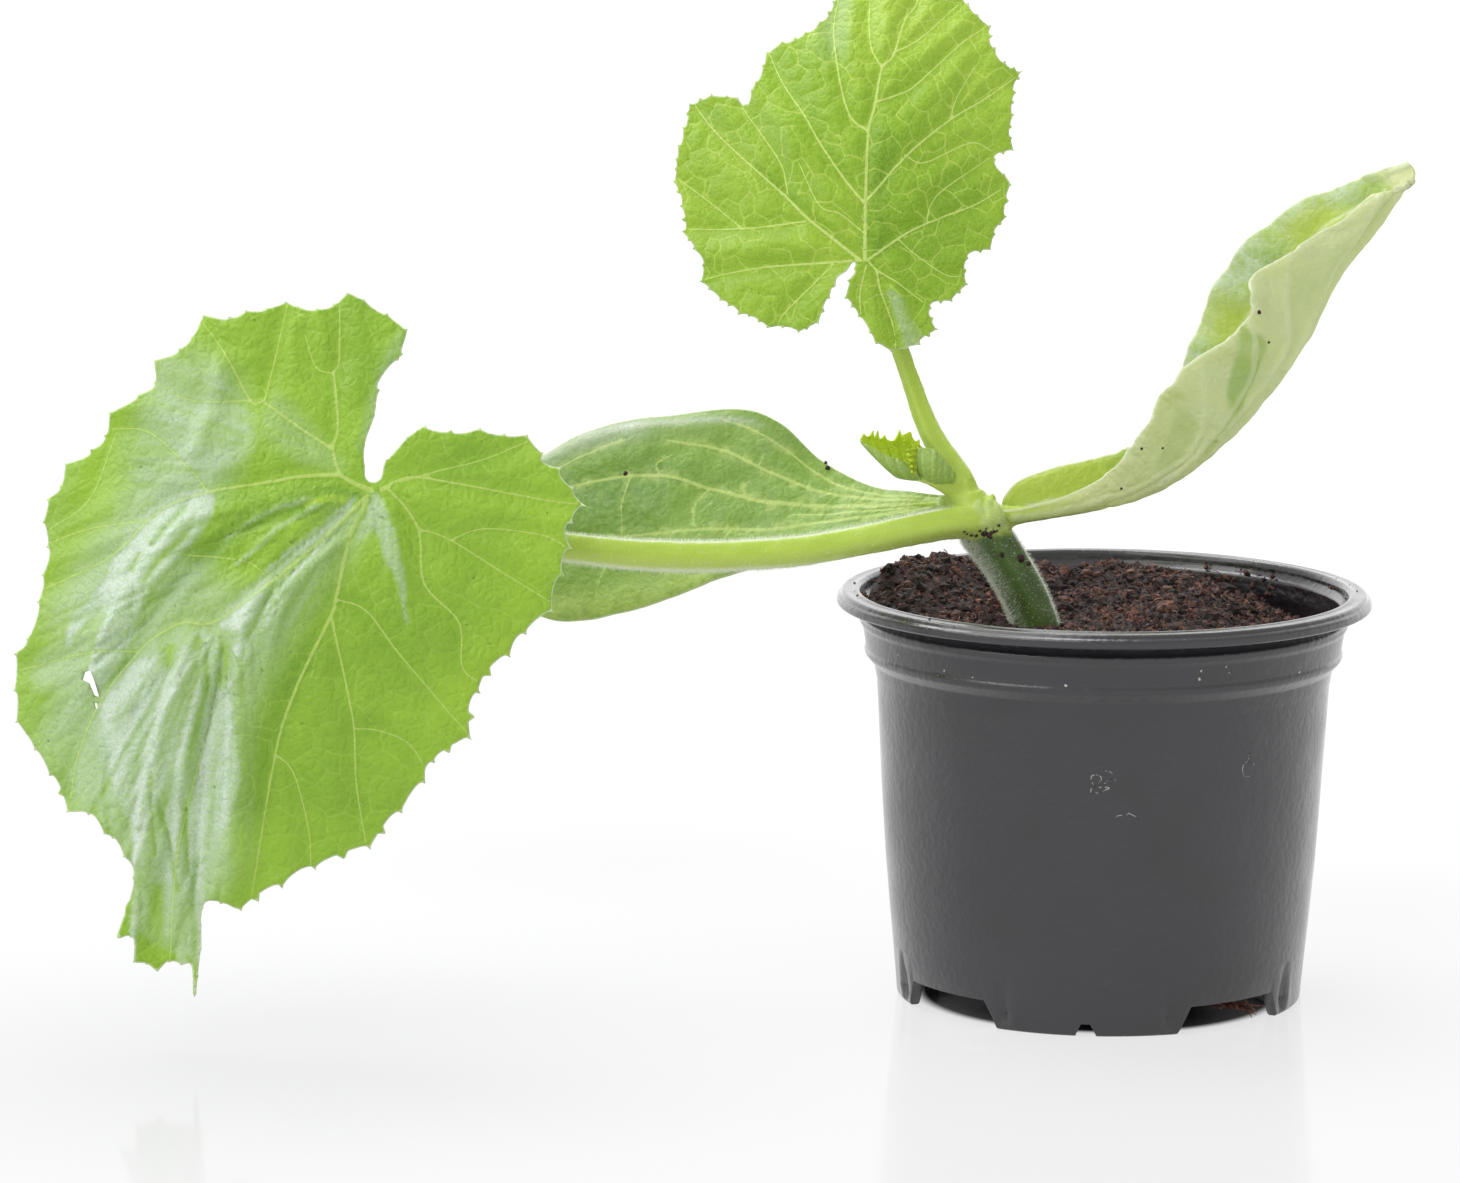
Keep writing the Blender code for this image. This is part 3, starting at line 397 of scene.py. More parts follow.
# Seed leaves and the folded young leaf: an edge, the middle and the other edge of each
# trough, matched point by point from the stalk to the tip
LEFT_SEED_EDGES = [
    [(-33.5, -13, 115.2), (-43.5, -9.5, 115.7), (-54, -4, 116.4), (-63.5, 0.5, 121), (-73, 4, 129),
        (-83, 6, 132.2), (-98, 7.5, 130.5), (-110, 8.5, 128.3), (-122.5, 8.5, 124), (-131.5, 6.5, 118),
        (-136, 3, 110.5)],
    [(-33, -13.8, 114), (-43.5, -11.6, 113.1), (-54, -9.4, 112.7), (-64, -7, 112.7), (-74, -5, 113.7),
        (-84, -3.4, 114.5), (-98, -2, 114.3), (-109.5, -1, 112.7), (-122, 0, 109.7), (-131, 1, 107.3),
        (-137, 1.5, 104.4)],
    [(-33.5, -15.2, 112.8), (-43.7, -15.4, 110.5), (-54.3, -15.6, 108), (-64, -16, 104.7),
        (-74, -16.5, 101), (-83.5, -16.5, 97.5), (-96, -16, 92.8), (-109, -14, 88.6), (-122, -10.5, 86),
        (-131, -6, 90), (-135.6, -1, 98.5)],
]
RIGHT_SEED_EDGES = [
    [(-24.2, -22, 113.3), (-17.8, -22, 114.4), (-10.8, -22.5, 116.5), (-3.4, -23, 119.8), (1.4, -24, 123.7),
        (6, -24.5, 129.8), (10.3, -25, 137.5), (14.8, -25, 144.2), (22.5, -23.5, 149.8), (30, -21, 155.7),
        (30.6, -18.5, 163.8), (38, -15, 169.4), (49.4, -10, 175.3), (58.7, -3, 182.2), (65.2, 3.4, 182.6)],
    [(-24.1, -19, 110.8), (-17.2, -18.4, 111.8), (-9.2, -17.8, 113), (-1, -17, 114.6), (7.9, -16, 116.7),
        (15.7, -15, 120.7), (22.7, -14, 125.7), (29, -12.5, 131.8), (35.2, -10.5, 139.4), (41.5, -8, 147.4),
        (46.8, -5.5, 156), (51.8, -3, 164.7), (57, -0.5, 171.8), (62.7, 2.5, 179), (68.4, 5.5, 185.4)],
    [(-23.8, -16, 115.5), (-20.2, -13, 118.6), (-13, -10.5, 120.7), (-5.3, -9, 122.4), (1, -7.5, 123.7),
        (7, -5, 126), (11.8, -2, 133), (16.4, 1, 141), (20, 4, 150), (24.3, 7, 160), (29.3, 9.5, 167),
        (36.3, 12, 173.4), (46.6, 13, 179.5), (56.8, 12, 183.5), (66.9, 7.4, 188.4)],
]
# Veins of the seed leaves: widths, then place along the trough and place across it, -1 to 1
LEFT_SEED_VEINS = [
    (1, 0.5, [(0, 0.1), (3.1, 0.12), (4.4, 0.08), (5.4, -0.04), (6.1, -0.16), (8, -0.25), (9.6, -0.2)]),
    (0.9, 0.5, [(0, -0.2), (2.5, -0.22), (3.5, -0.25), (4.5, -0.36), (5.2, -0.5), (6, -0.6)]),
    (0.7, 0.4, [(0, -0.5), (2.2, -0.5), (3.1, -0.62), (4.4, -0.75), (5.2, -0.85)]),
    (0.9, 0.45, [(0, 0.5), (2.2, 0.55), (3.5, 0.5), (4.8, 0.45), (6, 0.43), (7.4, 0.36), (9.4, 0.3)]),
    (0.6, 0.4, [(0, 0.3), (2.4, 0.34), (3.6, 0.3)]), (0.5, 0.3, [(6.8, -0.66), (7.6, -0.6), (8.6, -0.5)]),
    (0.45, 0.3, [(6.1, -0.16), (6.2, -0.3), (5.9, -0.42)]), (0.4, 0.3, [(4.7, 0.06), (4.75, -0.08),
        (4.6, -0.16)]),
    (0.4, 0.3, [(4.4, -0.36), (4.3, -0.5)]), (0.4, 0.3, [(5.4, 0), (5.6, 0.2), (5.6, 0.4)]),
    (0.4, 0.3, [(6.7, -0.2), (6.9, 0.1), (6.9, 0.36)]), (0.4, 0.3, [(5, 0.46), (5.3, 0.7), (5.6, 0.9)]),
    (0.4, 0.3, [(6.9, 0.4), (7.3, 0.7), (7.4, 0.95)]),
]
RIGHT_SEED_VEINS = [
    (1.6, 0.8, [(0, 0), (6, 0), (11, 0), (13.6, 0)]),
    (1.4, 0.7, [(0.5, -0.7), (3, -0.6), (4.4, -0.48), (5.5, -0.42), (6.5, -0.62), (7.6, -0.97)]),
    (1.7, 0.9, [(3.2, -0.3), (5.1, -0.3), (7.5, -0.5), (8.5, -0.8), (9.1, -0.99)]),
    (1.5, 0.8, [(6.4, -0.24), (8.2, -0.36), (9.6, -0.62), (10.4, -0.78), (11, -0.94)]),
    (1.2, 0.7, [(8.6, -0.2), (10.4, -0.36), (12, -0.62), (13.2, -0.9)]),
    (1.2, 0.7, [(1, 0.4), (4, 0.36), (7, 0.4), (10, 0.4), (13, 0.3)]),
    (1, 0.6, [(3, 0.5), (5.5, 0.66), (8, 0.72), (11, 0.7), (13.2, 0.55)]),
]
SEED_THICK = 1.1

# The grown-together skin of stem and stalks: its grid and how often it is smoothed
SKIN_GRID = 0.48
SKIN_ROUNDS = 10

# Camera: it looks at AIM from DISTANCE away, above level and a little rolled
AIM = (-84.0, 0.0, 91.4)
DISTANCE = 1500.0
ELEVATION = math.radians(9.6)
ROLL = math.radians(0.3)
LENS = 164.6
SENSOR = 36.0


# ---------------------------------------------------------------- points, curves, meshes

def to_frame(points):
    """Millimetres from the pot's axis to metres of the frame."""
    return (np.asarray(points, float) + (POT_X, 0, 0)) * MM


def ease(low, high, value):
    """0 below low, 1 above high and a smooth rise between them."""
    share = np.clip((value - low) / (high - low), 0, 1)
    return share * share * (3 - 2 * share)


def smooth(points, step, closed=False):
    """Points about every step along the smooth curve through a list of points."""
    points = np.asarray(points, float)
    if closed:
        padded = np.vstack([points[-1:], points, points[:2]])
    else:
        padded = np.vstack([2 * points[0] - points[1], points, 2 * points[-1] - points[-2]])
    parts = []
    for before, a, b, after in zip(padded, padded[1:], padded[2:], padded[3:]):
        count = max(round(np.linalg.norm((b - a)[:3]) / step), 1)
        t = np.arange(count)[:, None] / count
        parts.append(0.5 * (2 * a + (b - before) * t + (2 * before - 5 * a + 4 * b - after) * t ** 2
                            + (3 * a - before - 3 * b + after) * t ** 3))
    if not closed:
        parts.append(points[-1:])
    return np.vstack(parts)


def along(points, places):
    """Points of the smooth curve through a list, at places that run from 0 to its length less 1."""
    points = np.asarray(points, float)
    last = len(points) - 1
    places = np.asarray(places, float)
    first = np.clip(places.astype(int), 0, last - 1)
    t = (places - first)[..., None]
    before, a, b, after = [points[np.clip(first + k, 0, last)] for k in (-1, 0, 1, 2)]
    return 0.5 * (2 * a + (b - before) * t + (2 * before - 5 * a + 4 * b - after) * t ** 2
                  + (3 * a - before - 3 * b + after) * t ** 3)


def rough(points, width, seed, octaves=1):
    """Smooth noise of about -1 to 1 at each point, its lumps about width across."""
    points = np.asarray(points, float)
    if points.shape[1] == 2:
        points = np.column_stack([points, np.zeros(len(points))])
    found = np.zeros(len(points))
    for octave in range(octaves):
        scaled = points * (2 ** octave / width) + seed * 17.3
        found += np.array([noise.noise(Vector(p)) for p in scaled]) / 2 ** octave
    return found


def nearest(samples, points):
    """Distance from each point to the nearest sample, and which sample that is."""
    samples = np.asarray(samples, float)
    points = np.asarray(points, float)
    if samples.shape[1] == 2:
        samples = np.column_stack([samples, np.zeros(len(samples))])
        points = np.column_stack([points, np.zeros(len(points))])
    tree = kdtree.KDTree(len(samples))
    for index, sample in enumerate(samples):
        tree.insert(sample, index)
    tree.balance()
    found = [tree.find(point) for point in points]
    return np.array([f[2] for f in found]), np.array([f[1] for f in found])


def beside(points, course):
    """Signed distance of each point from a course, positive at its right, and how far along."""
    course = np.asarray(course, float)
    best = np.full(len(points), np.inf)
    signed = np.zeros(len(points))
    share = np.zeros(len(points))
    count = len(course) - 1
    for index, (a, b) in enumerate(zip(course, course[1:])):
        way = b - a
        t = np.clip(((points - a) @ way) / (way @ way), 0, 1)
        offset = points - (a + t[:, None] * way)
        distance = np.linalg.norm(offset, axis=1)
        nearer = distance < best
        side = np.sign(offset[:, 1] * way[0] - offset[:, 0] * way[1])
        best = np.where(nearer, distance, best)
        signed = np.where(nearer, -side * distance, signed)
        share = np.where(nearer, (index + t) / count, share)
    return signed, share


def stripe(points, course, strength, width, step=2, fade=None):
    """The strength on a course, falling off over its width; with fade it sets in along the course."""
    away, share = beside(points, smooth(course, step))
    found = strength * np.exp(-(away / width) ** 2)
    return found if fade is None else found * ease(0, fade, share)


def new_mesh(name, points, faces, marks=None):
    """A smooth mesh from points in mm, with a number on each corner for every mark."""
    mesh = bpy.data.meshes.new(name)
    mesh.from_pydata(to_frame(points).tolist(), [], [list(map(int, face)) for face in faces])
    for mark, values in (marks or {}).items():
        layer = mesh.attributes.new(mark, "FLOAT", "POINT")
        layer.data.foreach_set("value", np.asarray(values, np.float32))
    mesh.shade_smooth()
    return mesh


def corner_normals(points, faces):
    a, b, c = (points[faces[:, k]] for k in range(3))
    facing = np.cross(b - a, c - a)
    normals = np.zeros_like(points)
    for k in range(3):
        np.add.at(normals, faces[:, k], facing)
    return normals / (np.linalg.norm(normals, axis=1, keepdims=True) + 1e-12)


def thicken(points, faces, front, back, marks):
    """Closes a sheet of triangles: a front and a back either side of it, joined round its edge."""
    count = len(points)
    normals = corner_normals(points, faces)
    both = np.vstack([points + normals * front[:, None], points - normals * back[:, None]])
    edges = np.vstack([faces[:, [0, 1]], faces[:, [1, 2]], faces[:, [2, 0]]])
    known = {(a, b) for a, b in edges.tolist()}
    rim = np.array([edge for edge in edges.tolist() if (edge[1], edge[0]) not in known])
    a, b = rim.T
    sides = np.vstack([np.column_stack([b, a, a + count]), np.column_stack([b, a + count, b + count])])
    doubled = {mark: np.tile(values, 2) for mark, values in marks.items()}
    doubled["under"] = np.repeat([0.0, 1.0], count)
    return both, np.vstack([faces, faces[:, ::-1] + count, sides]), doubled


def grid_places(places, across):
    """The two places of each point of a grid, row by row."""
    return [values.ravel() for values in np.meshgrid(places, across, indexing="ij")]


def grid_faces(rows, columns):
    """Triangles of a grid of rows x columns points, listed row by row."""
    spots = np.arange(rows * columns).reshape(rows, columns)
    a, b = spots[:-1, :-1].ravel(), spots[1:, :-1].ravel()
    c, d = spots[1:, 1:].ravel(), spots[:-1, 1:].ravel()
    return np.vstack([np.column_stack([a, b, c]), np.column_stack([a, c, d])])


def ring_faces(rings, steps, way):
    """Quads from ring to ring of a closed skin and its two caps; way is 1, or -1 to turn them round."""
    spots = np.arange(rings * steps).reshape(rings, steps)
    a, b = spots[:-1], spots[1:]
    others = [b, np.roll(b, -1, axis=1), np.roll(a, -1, axis=1)][::way]
    quads = np.stack([a, *others], axis=-1).reshape(-1, 4).tolist()
    return quads + [spots[0][::way].tolist(), spots[-1][::-way].tolist()]


def joined(shapes):
    """Several shapes as one list of points and one of faces."""
    points, faces = [], []
    for more_points, more_faces in shapes:
        faces += [[i + len(points) for i in face] for face in more_faces]
        points += [tuple(p) for p in more_points]
    return points, faces


def add_piece(name, mesh, material=None):
    """A new object in the scene; without a material it is a helper that is removed again."""
    made = bpy.data.objects.new(name, mesh)
    bpy.context.scene.collection.objects.link(made)
    if material:
        made.data.materials.append(material)
    return made


def places_of(piece):
    """The points of a piece in mm from the pot's axis."""
    return np.array([v.co for v in piece.data.vertices]) / MM - (POT_X, 0, 0)


def move_to(piece, places):
    """Moves the points of a piece to places in mm and shades it smooth."""
    for vertex, place in zip(piece.data.vertices, to_frame(places)):
        vertex.co = place
    piece.data.shade_smooth()


def bake(piece):
    """Turns a piece and its modifiers into a plain mesh."""
    bpy.context.view_layer.update()
    graph = bpy.context.evaluated_depsgraph_get()
    mesh = bpy.data.meshes.new_from_object(piece.evaluated_get(graph))
    piece.modifiers.clear()
    piece.data = mesh


# ---------------------------------------------------------------- materials

def linear(code):
    """A hex sRGB colour as linear RGBA."""
    channels = [int(code[i:i + 2], 16) / 255 for i in (1, 3, 5)]
    return (*[c / 12.92 if c <= 0.04045 else ((c + 0.055) / 1.055) ** 2.4 for c in channels], 1.0)


def connect(tree, made, inputs):
    """Gives sockets of a node, by name or number, a value or another node's output."""
    for key, value in inputs.items():
        if isinstance(value, bpy.types.NodeSocket):
            tree.links.new(value, made.inputs[key])
        else:
            made.inputs[key].default_value = value


def node(tree, kind, inputs=None, **settings):
    """Adds a node with its settings and its inputs."""
    made = tree.nodes.new(kind)
    for key, value in settings.items():
        setattr(made, key, value)
    connect(tree, made, inputs or {})
    return made


def pattern(tree, source, low=None, high=None, start=0.0, end=1.0):
    """What varies over a surface: a mark by its name, a grain by its width in mm and its
    detail, or another node's output.

    With low and high it becomes start at low and end at high, with a smooth rise between.
    """
    if isinstance(source, str):
        source = node(tree, "ShaderNodeAttribute", attribute_name=source).outputs["Fac"]
    if isinstance(source, tuple):
        place = node(tree, "ShaderNodeTexCoord").outputs["Object"]
        source = node(tree, "ShaderNodeTexNoise", {"Vector": place, "Scale": 1 / (source[0] * MM),
                                                   "Detail": source[1]}).outputs[0]
    if low is None:
        return source
    return node(tree, "ShaderNodeMapRange", {0: source, 1: low, 2: high, 3: start, 4: end},
                interpolation_type="SMOOTHSTEP").outputs[0]


def together(tree, way, *parts):
    """Patterns, given as lists, and plain numbers or outputs, all multiplied or added up."""
    total = None
    for part in parts:
        part = pattern(tree, *part) if isinstance(part, list) else part
        total = part if total is None else node(tree, "ShaderNodeMath", {0: total, 1: part},
                                                operation=way).outputs[0]
    return total


def coated(tree, colour, *coats):
    """Lays coats over a colour: each has its own colour and the patterns that say how thick it is."""
    colour = linear(colour) if isinstance(colour, str) else colour
    for coat, *parts in coats:
        coat = linear(coat) if isinstance(coat, str) else coat
        share = together(tree, "MULTIPLY", *parts)
        colour = node(tree, "ShaderNodeMix", {0: share, 6: colour, 7: coat}, data_type="RGBA").outputs[2]
    return colour


def new_material(name):
    made = bpy.data.materials.new(name)
    made.use_nodes = True
    tree = made.node_tree
    return made, tree, tree.nodes["Principled BSDF"], tree.nodes["Material Output"]


def let_light_through(tree, shader, output, colour, share):
    """Mixes in light that comes through a thin blade from behind."""
    through = node(tree, "ShaderNodeBsdfTranslucent", {"Color": colour})
    mix = node(tree, "ShaderNodeMixShader", {0: share, 1: shader.outputs[0], 2: through.outputs[0]})
    tree.links.new(mix.outputs[0], output.inputs[0])


def leaf_material(name, look):
    """Living leaf blade: waxy green flesh under fine white hair, with paler veins.

    The flesh varies softly over 20 mm, the net of small veins shows as thin light lines round
    puffed cells, and the hair gives a stippled grey-white bloom where it lies thick, with a
    painted sheen where the folds face the light.
    """
    made, tree, shader, output = new_material(name)
    place = node(tree, "ShaderNodeTexCoord").outputs["Object"]
    shift = node(tree, "ShaderNodeTexNoise", {"Scale": 1 / (3.0 * MM), "Detail": 1.0, "Vector": place})
    shift = node(tree, "ShaderNodeVectorMath", {0: shift.outputs["Color"], 3: 1.6 * MM}, operation="SCALE")
    bent = node(tree, "ShaderNodeVectorMath", {0: place, 1: shift.outputs[0]}, operation="ADD")
    cells = node(tree, "ShaderNodeTexVoronoi", {"Vector": bent.outputs[0], "Scale": 1 / (look["cell"] * MM)},
                 feature="DISTANCE_TO_EDGE").outputs["Distance"]
    hair = together(tree, "MULTIPLY", ["bloom"], [(0.55, 3), 0.36, 0.64, 0.76, 1.12])
    white = coated(tree, look["hair"], ("#DCE8DC", ["bloom", 0.72, 1.1]))
    flesh = coated(
        tree, look["dark"],
        (look["light"], [(22, 3), 0.3, 0.7]),
        # painted light and shade: lighter towards the sunny green, darker towards the shady one, also on the
        # underside
        (look["sunny"], ["tone", 0, 1, 0, 0.8]),
        (look["shady"], ["tone", 0, -1, 0, 0.85]),
        (look["light"], [(1.3, 3), 0.4, 0.7, 0, look["mottle"]]),
        (look["under"], ["under"], look["turned"]),
        (look["shady"], ["under"], look["turned"], ["tone", 0, -1, 0, 0.85]),
        (look["net_colour"], [cells, 0.01, 0.1, look["walls"], 0]),
        (look["net_colour"], ["net", look["net_width"], look["net_width"] * 2.6, look["net"], 0]),
        (look["vein_colour"], ["vein", 0.5, 4.0, 1, 0], [(2.4, 3), 0.42, 0.62], look["blotch"]),
        (look["vein_colour"], ["vein", 0.35, look["vein_soft"], look["vein"], 0]),
        # pale hair, with painted sheen where it lies along folds that face the light
        (white, hair),
        (look["edge"], ["rim", look["edge_width"] * 0.4, look["edge_width"], 0.7, 0]))
    height = together(tree, "ADD", [(2.0, 2)], [cells, 0.0, 0.3, 0, look["puff"]], [(0.8, 2)])
    bump = node(tree, "ShaderNodeBump", {"Strength": 0.6, "Distance": 0.00035, "Height": height})
    connect(tree, shader, {
        "Base Color": flesh, "Roughness": pattern(tree, hair, 0, 1, look["gloss"], 0.8),
        "Specular IOR Level": 0.4, "Sheen Weight": look["sheen"], "Sheen Roughness": 0.35,
        "Normal": bump.outputs[0],
    })
    let_light_through(tree, shader, output, coated(tree, flesh, (look["through"], 0.5)), look["thin"])
    return made


LEAF_LOOK = {
    "dark": "#88B430", "light": "#9CC63A", "sunny": "#A8CC38", "shady": "#6E9C2A", "mottle": 0.3,
    "cell": 2.4, "walls": 0.08, "puff": 0.7, "blotch": 0.0, "vein_soft": 0.66, "edge_width": 0.4,
    "net": 0.3, "net_width": 0.12, "net_colour": "#B4D45C", "vein": 0.8, "vein_colour": "#C4DC74",
    "turned": 0.8, "under": "#B4CC84", "hair": "#CBDAC7", "edge": "#DCE8C0",
    "gloss": 0.42, "sheen": 0.1, "through": "#B4E03A", "thin": 0.16,
}
# What each living surface has of its own: leaf_material says what it shows
LEAF_LOOKS = {
    # grown blade: even green, its hair and painted sheen thick along the pleats
    "left": ("hairy_leaf_blade", {}),
    # younger blade: yellower, puckered between a close net of pale veins
    "top": ("puckered_leaf_blade", {
        "dark": "#92BC2C", "light": "#ACCE40", "sunny": "#B0D048", "shady": "#76A422",
        "net": 0.6, "net_width": 0.115, "net_colour": "#CCE46C", "vein_colour": "#DCF08A",
        "vein": 0.9, "vein_soft": 0.56, "walls": 0.2, "cell": 1.6, "puff": 0.5, "thin": 0.2, "hair": "#C8D8C0",
    }),
    # fleshy seed leaf: deep mottled green with a few broad soft veins
    "left_seed": ("smooth_seed_leaf", {
        "dark": "#789A3E", "light": "#8AAA50", "sunny": "#B0C662", "shady": "#688F3A",
        "net": 0.0, "walls": 0.05, "vein": 0.7, "vein_soft": 0.85, "vein_colour": "#C0D27A", "hair": "#CED2CA",
        "edge": "#D4E0B4", "under": "#C0D096", "thin": 0.14, "mottle": 0.7, "puff": 0.3, "blotch": 0.45,
    }),
    # rolled seed leaf: its pale underside is turned out and light comes through it
    "right_seed": ("pale_seed_leaf", {
        "dark": "#98BE50", "light": "#AECA62", "sunny": "#CADC5C", "shady": "#9ABC58",
        "net": 0.0, "walls": 0.05, "vein": 0.5, "vein_soft": 1.1, "vein_colour": "#EEF2D6", "hair": "#D2DED4",
        "edge": "#F4F6E4", "edge_width": 0.6, "turned": 0.9, "under": "#ECEEC6", "thin": 0.46, "puff": 0.5,
        "gloss": 0.36, "through": "#E0E496",
    }),
    # leaf just opening: bright yellow-green and thin
    "young": ("tender_leaf_tip", {
        "dark": "#BCD030", "light": "#CCE038", "sunny": "#E2F244", "shady": "#9EB83E",
        "through": "#DCF048", "vein_colour": "#D8EC6C",
        "turned": 0.9, "under": "#A2BE60", "net": 0.0, "walls": 0.25, "cell": 1.2, "thin": 0.4,
    }),
}


def stalk_material():
    """Juicy stalk skin, grown in long fibres: soft lengthwise ribs under short white hair.

    The mark "pale" runs from 0 on the dark stem to 1 on the yellow-green leaf stalks. Where
    the skin faces down, painted shade darkens the stem and painted light brightens the stalks.
    """
    made, tree, shader, output = new_material("ribbed_stalk_skin")
    skin, light, dark, below = (coated(tree, stem, (stalk, ["pale"])) for stem, stalk in (
        ("#3F5820", "#A8C440"), ("#54702C", "#B6CE56"), ("#2E4216", "#A2BC46"), ("#2E4216", "#DCE98C")))
    skin = coated(
        tree, skin,
        (light, ["ridge", -0.2, 0.9, 0, 0.7]),
        (dark, ["ridge", -0.4, -1, 0, 0.5]),
        # painted shade under the stem and painted light under the stalks, where the skin faces down
        (below, ["top", 0.2, -0.9, 0, 0.5]),
        (light, [(7, 3), 0.4, 0.7, 0, 0.4]),
        (light, [(0.6, 2), 0.5, 0.75, 0, 0.3]),
        # pale hair with painted highlights on it
        ("#EAEFDF", ["hair_and_highlight"], [(0.5, 2), 0.35, 0.65, 0.5, 1.1]),
        # brown specks of dirt, thick where the mark adds painted shade under the crown
        ("#3A2A20", [(0.9, 1), 0.68, 0.73], ["dirt_and_shade"]))
    bump = node(tree, "ShaderNodeBump", {"Strength": 0.3, "Distance": 0.0002, "Height": pattern(tree, (0.8, 2))})
    connect(tree, shader, {"Base Color": skin, "Roughness": 0.42, "Sheen Weight": 0.5, "Sheen Roughness": 0.22,
                           "Normal": bump.outputs[0]})
    let_light_through(tree, shader, output, skin, 0.1)
    return made


def hair_material():
    """Plant hair: clear single cells that catch the light and read as white."""
    made, tree, shader, output = new_material("white_plant_hair")
    connect(tree, shader, {"Base Color": linear("#F1F5E8"), "Roughness": 0.5})
    let_light_through(tree, shader, output, linear("#F8FAF2"), 0.45)
    return made


def pot_material():
    """Recycled black polypropylene, moulded thin: a faint orange peel under a satin gloss."""
    made, tree, shader, _ = new_material("black_polypropylene")
    peel = together(tree, "ADD", [(1.5, 2)], together(tree, "MULTIPLY", [(6, 2)], 1.5))
    bump = node(tree, "ShaderNodeBump", {"Strength": 0.42, "Distance": 0.0004, "Height": peel})
    connect(tree, shader, {
        "Base Color": coated(tree, "#120F14", ("#1A171E", [(30, 4), 0.3, 0.7])),
        "Roughness": pattern(tree, (12, 4), 0.3, 0.7, 0.24, 0.36), "Specular IOR Level": 0.6,
        "Coat Weight": 0.65, "Coat Roughness": 0.12, "Normal": bump.outputs[0],
    })
    return made


def scuff_material():
    """Plastic that a knock has stretched: it turns grey-white along the crease."""
    made, tree, shader, _ = new_material("stress_whitened_plastic")
    connect(tree, shader, {"Base Color": coated(tree, "#333235", ("#A09FA1", [(0.9, 2), 0.4, 0.65])),
                           "Roughness": 0.4})
    return made


def soil_material(name, dark, light, red, reds=0.5):
    """Peat-based potting soil, crumbled and damp: dark lumps with dry reddish fibre."""
    made, tree, shader, _ = new_material(name)
    crumbled = coated(tree, dark, (light, [(1.3, 4), 0.35, 0.7]), (red, [(2.6, 3), 0.5, 0.7, 0, reds]),
                      (dark, [(17, 2), 0.56, 0.42, 0, 0.6]))
    bump = node(tree, "ShaderNodeBump", {"Strength": 0.8, "Distance": 0.0006, "Height": pattern(tree, (0.6, 4))})
    connect(tree, shader, {"Base Color": crumbled, "Roughness": pattern(tree, (4, 2), 0.3, 0.7, 0.7, 0.98),
                           "Normal": bump.outputs[0]})
    return made


# ---------------------------------------------------------------- big leaf blades

def toothed(outline, hollows, apex, bare, seed):
    """A closed outline through the tips of its teeth, hollowed out between each two.

    Teeth lean towards the leaf's apex, so each hollow is deepest behind its tooth. A
    hollow wider than bare has one or two more small teeth in it.
    """
    chance = np.random.default_rng(seed)
    ring = smooth(outline, MARGIN_STEP, closed=True)
    following = np.roll(ring, -1, axis=0)
    area = np.sum(ring[:, 0] * following[:, 1] - following[:, 0] * ring[:, 1])
    way = following - np.roll(ring, 1, axis=0)
    outward = np.column_stack([way[:, 1], -way[:, 0]]) * np.sign(area)
    outward /= np.linalg.norm(outward, axis=1, keepdims=True)
    starts = [int(np.argmin(np.linalg.norm(ring - p, axis=1))) for p in np.asarray(outline, float)]
    starts.append(len(ring))
    shift = np.zeros(len(ring))
    for index, (low, high) in enumerate(zip(starts, starts[1:])):
        share = [value for first, value in hollows if first <= index][-1] * chance.uniform(0.75, 1.25)
        t = (np.arange(low, high) - low) / max(high - low, 1)
        t = t if index < apex else 1 - t
        depth = min(share * (high - low) * MARGIN_STEP, 1.8)
        leaning = t ** chance.uniform(0.6, 0.75)
        hollow = (4 * leaning * (1 - leaning)) ** 0.5
        length = (high - low) * MARGIN_STEP
        for middle in (0.36, 0.68) if length > 1.7 * bare else (0.52,) if length > bare else ():
            hollow *= 1 - 0.85 * np.maximum(1 - np.abs(t - middle - chance.uniform(-0.06, 0.06)) / 0.1, 0)
        shift[low:high] = -depth * hollow
    return ring + outward * shift[:, None]


def vein_lines(veins):
    """Each vein as points (right, up, width) along its course."""
    lines = []
    for start, end, course in veins:
        line = smooth(course, 0.55)
        lines.append(np.column_stack([line, np.linspace(start, end, len(line))]))
    return lines


def net_lines(outline, cell, seed):
    """The net of small veins (right, up, strength): borders between uneven cells, some missing."""
    chance = np.random.default_rng(seed)
    low, high = outline.min(0) - 2 * cell, outline.max(0) + 2 * cell
    rows = np.arange(low[1], high[1], cell * math.sqrt(0.75))
    seeds = [(x + cell / 2 * (index % 2), y) for index, y in enumerate(rows)
             for x in np.arange(low[0], high[0], cell)]
    seeds = np.array(seeds) + chance.uniform(-0.6, 0.6, (len(seeds), 2)) * cell
    points, _, faces, _, _, _ = geometry.delaunay_2d_cdt([Vector(s) for s in seeds], [], [], 0, 0.001)
    points = np.array(points)
    middles = points[np.array(faces)].mean(axis=1)
    owners = {}
    for index, face in enumerate(faces):
        for a, b in zip(face, face[1:] + face[:1]):
            owners.setdefault((min(a, b), max(a, b)), []).append(index)
    lines = []
    for pair in owners.values():
        if len(pair) == 2 and chance.random() > 0.14:
            a, b = middles[pair[0]], middles[pair[1]]
            count = max(round(np.linalg.norm(b - a) / 0.8), 1)
            line = a + (b - a) * np.linspace(0, 1, count + 1)[:, None]
            line += 1.2 * np.column_stack([rough(line, 5, 1), rough(line, 5, 2)])
            line += 0.35 * np.column_stack([rough(line, 1.6, 3), rough(line, 1.6, 4)])
            lines.append(np.column_stack([line, np.full(len(line), chance.uniform(0.55, 1.1))]))
    return lines


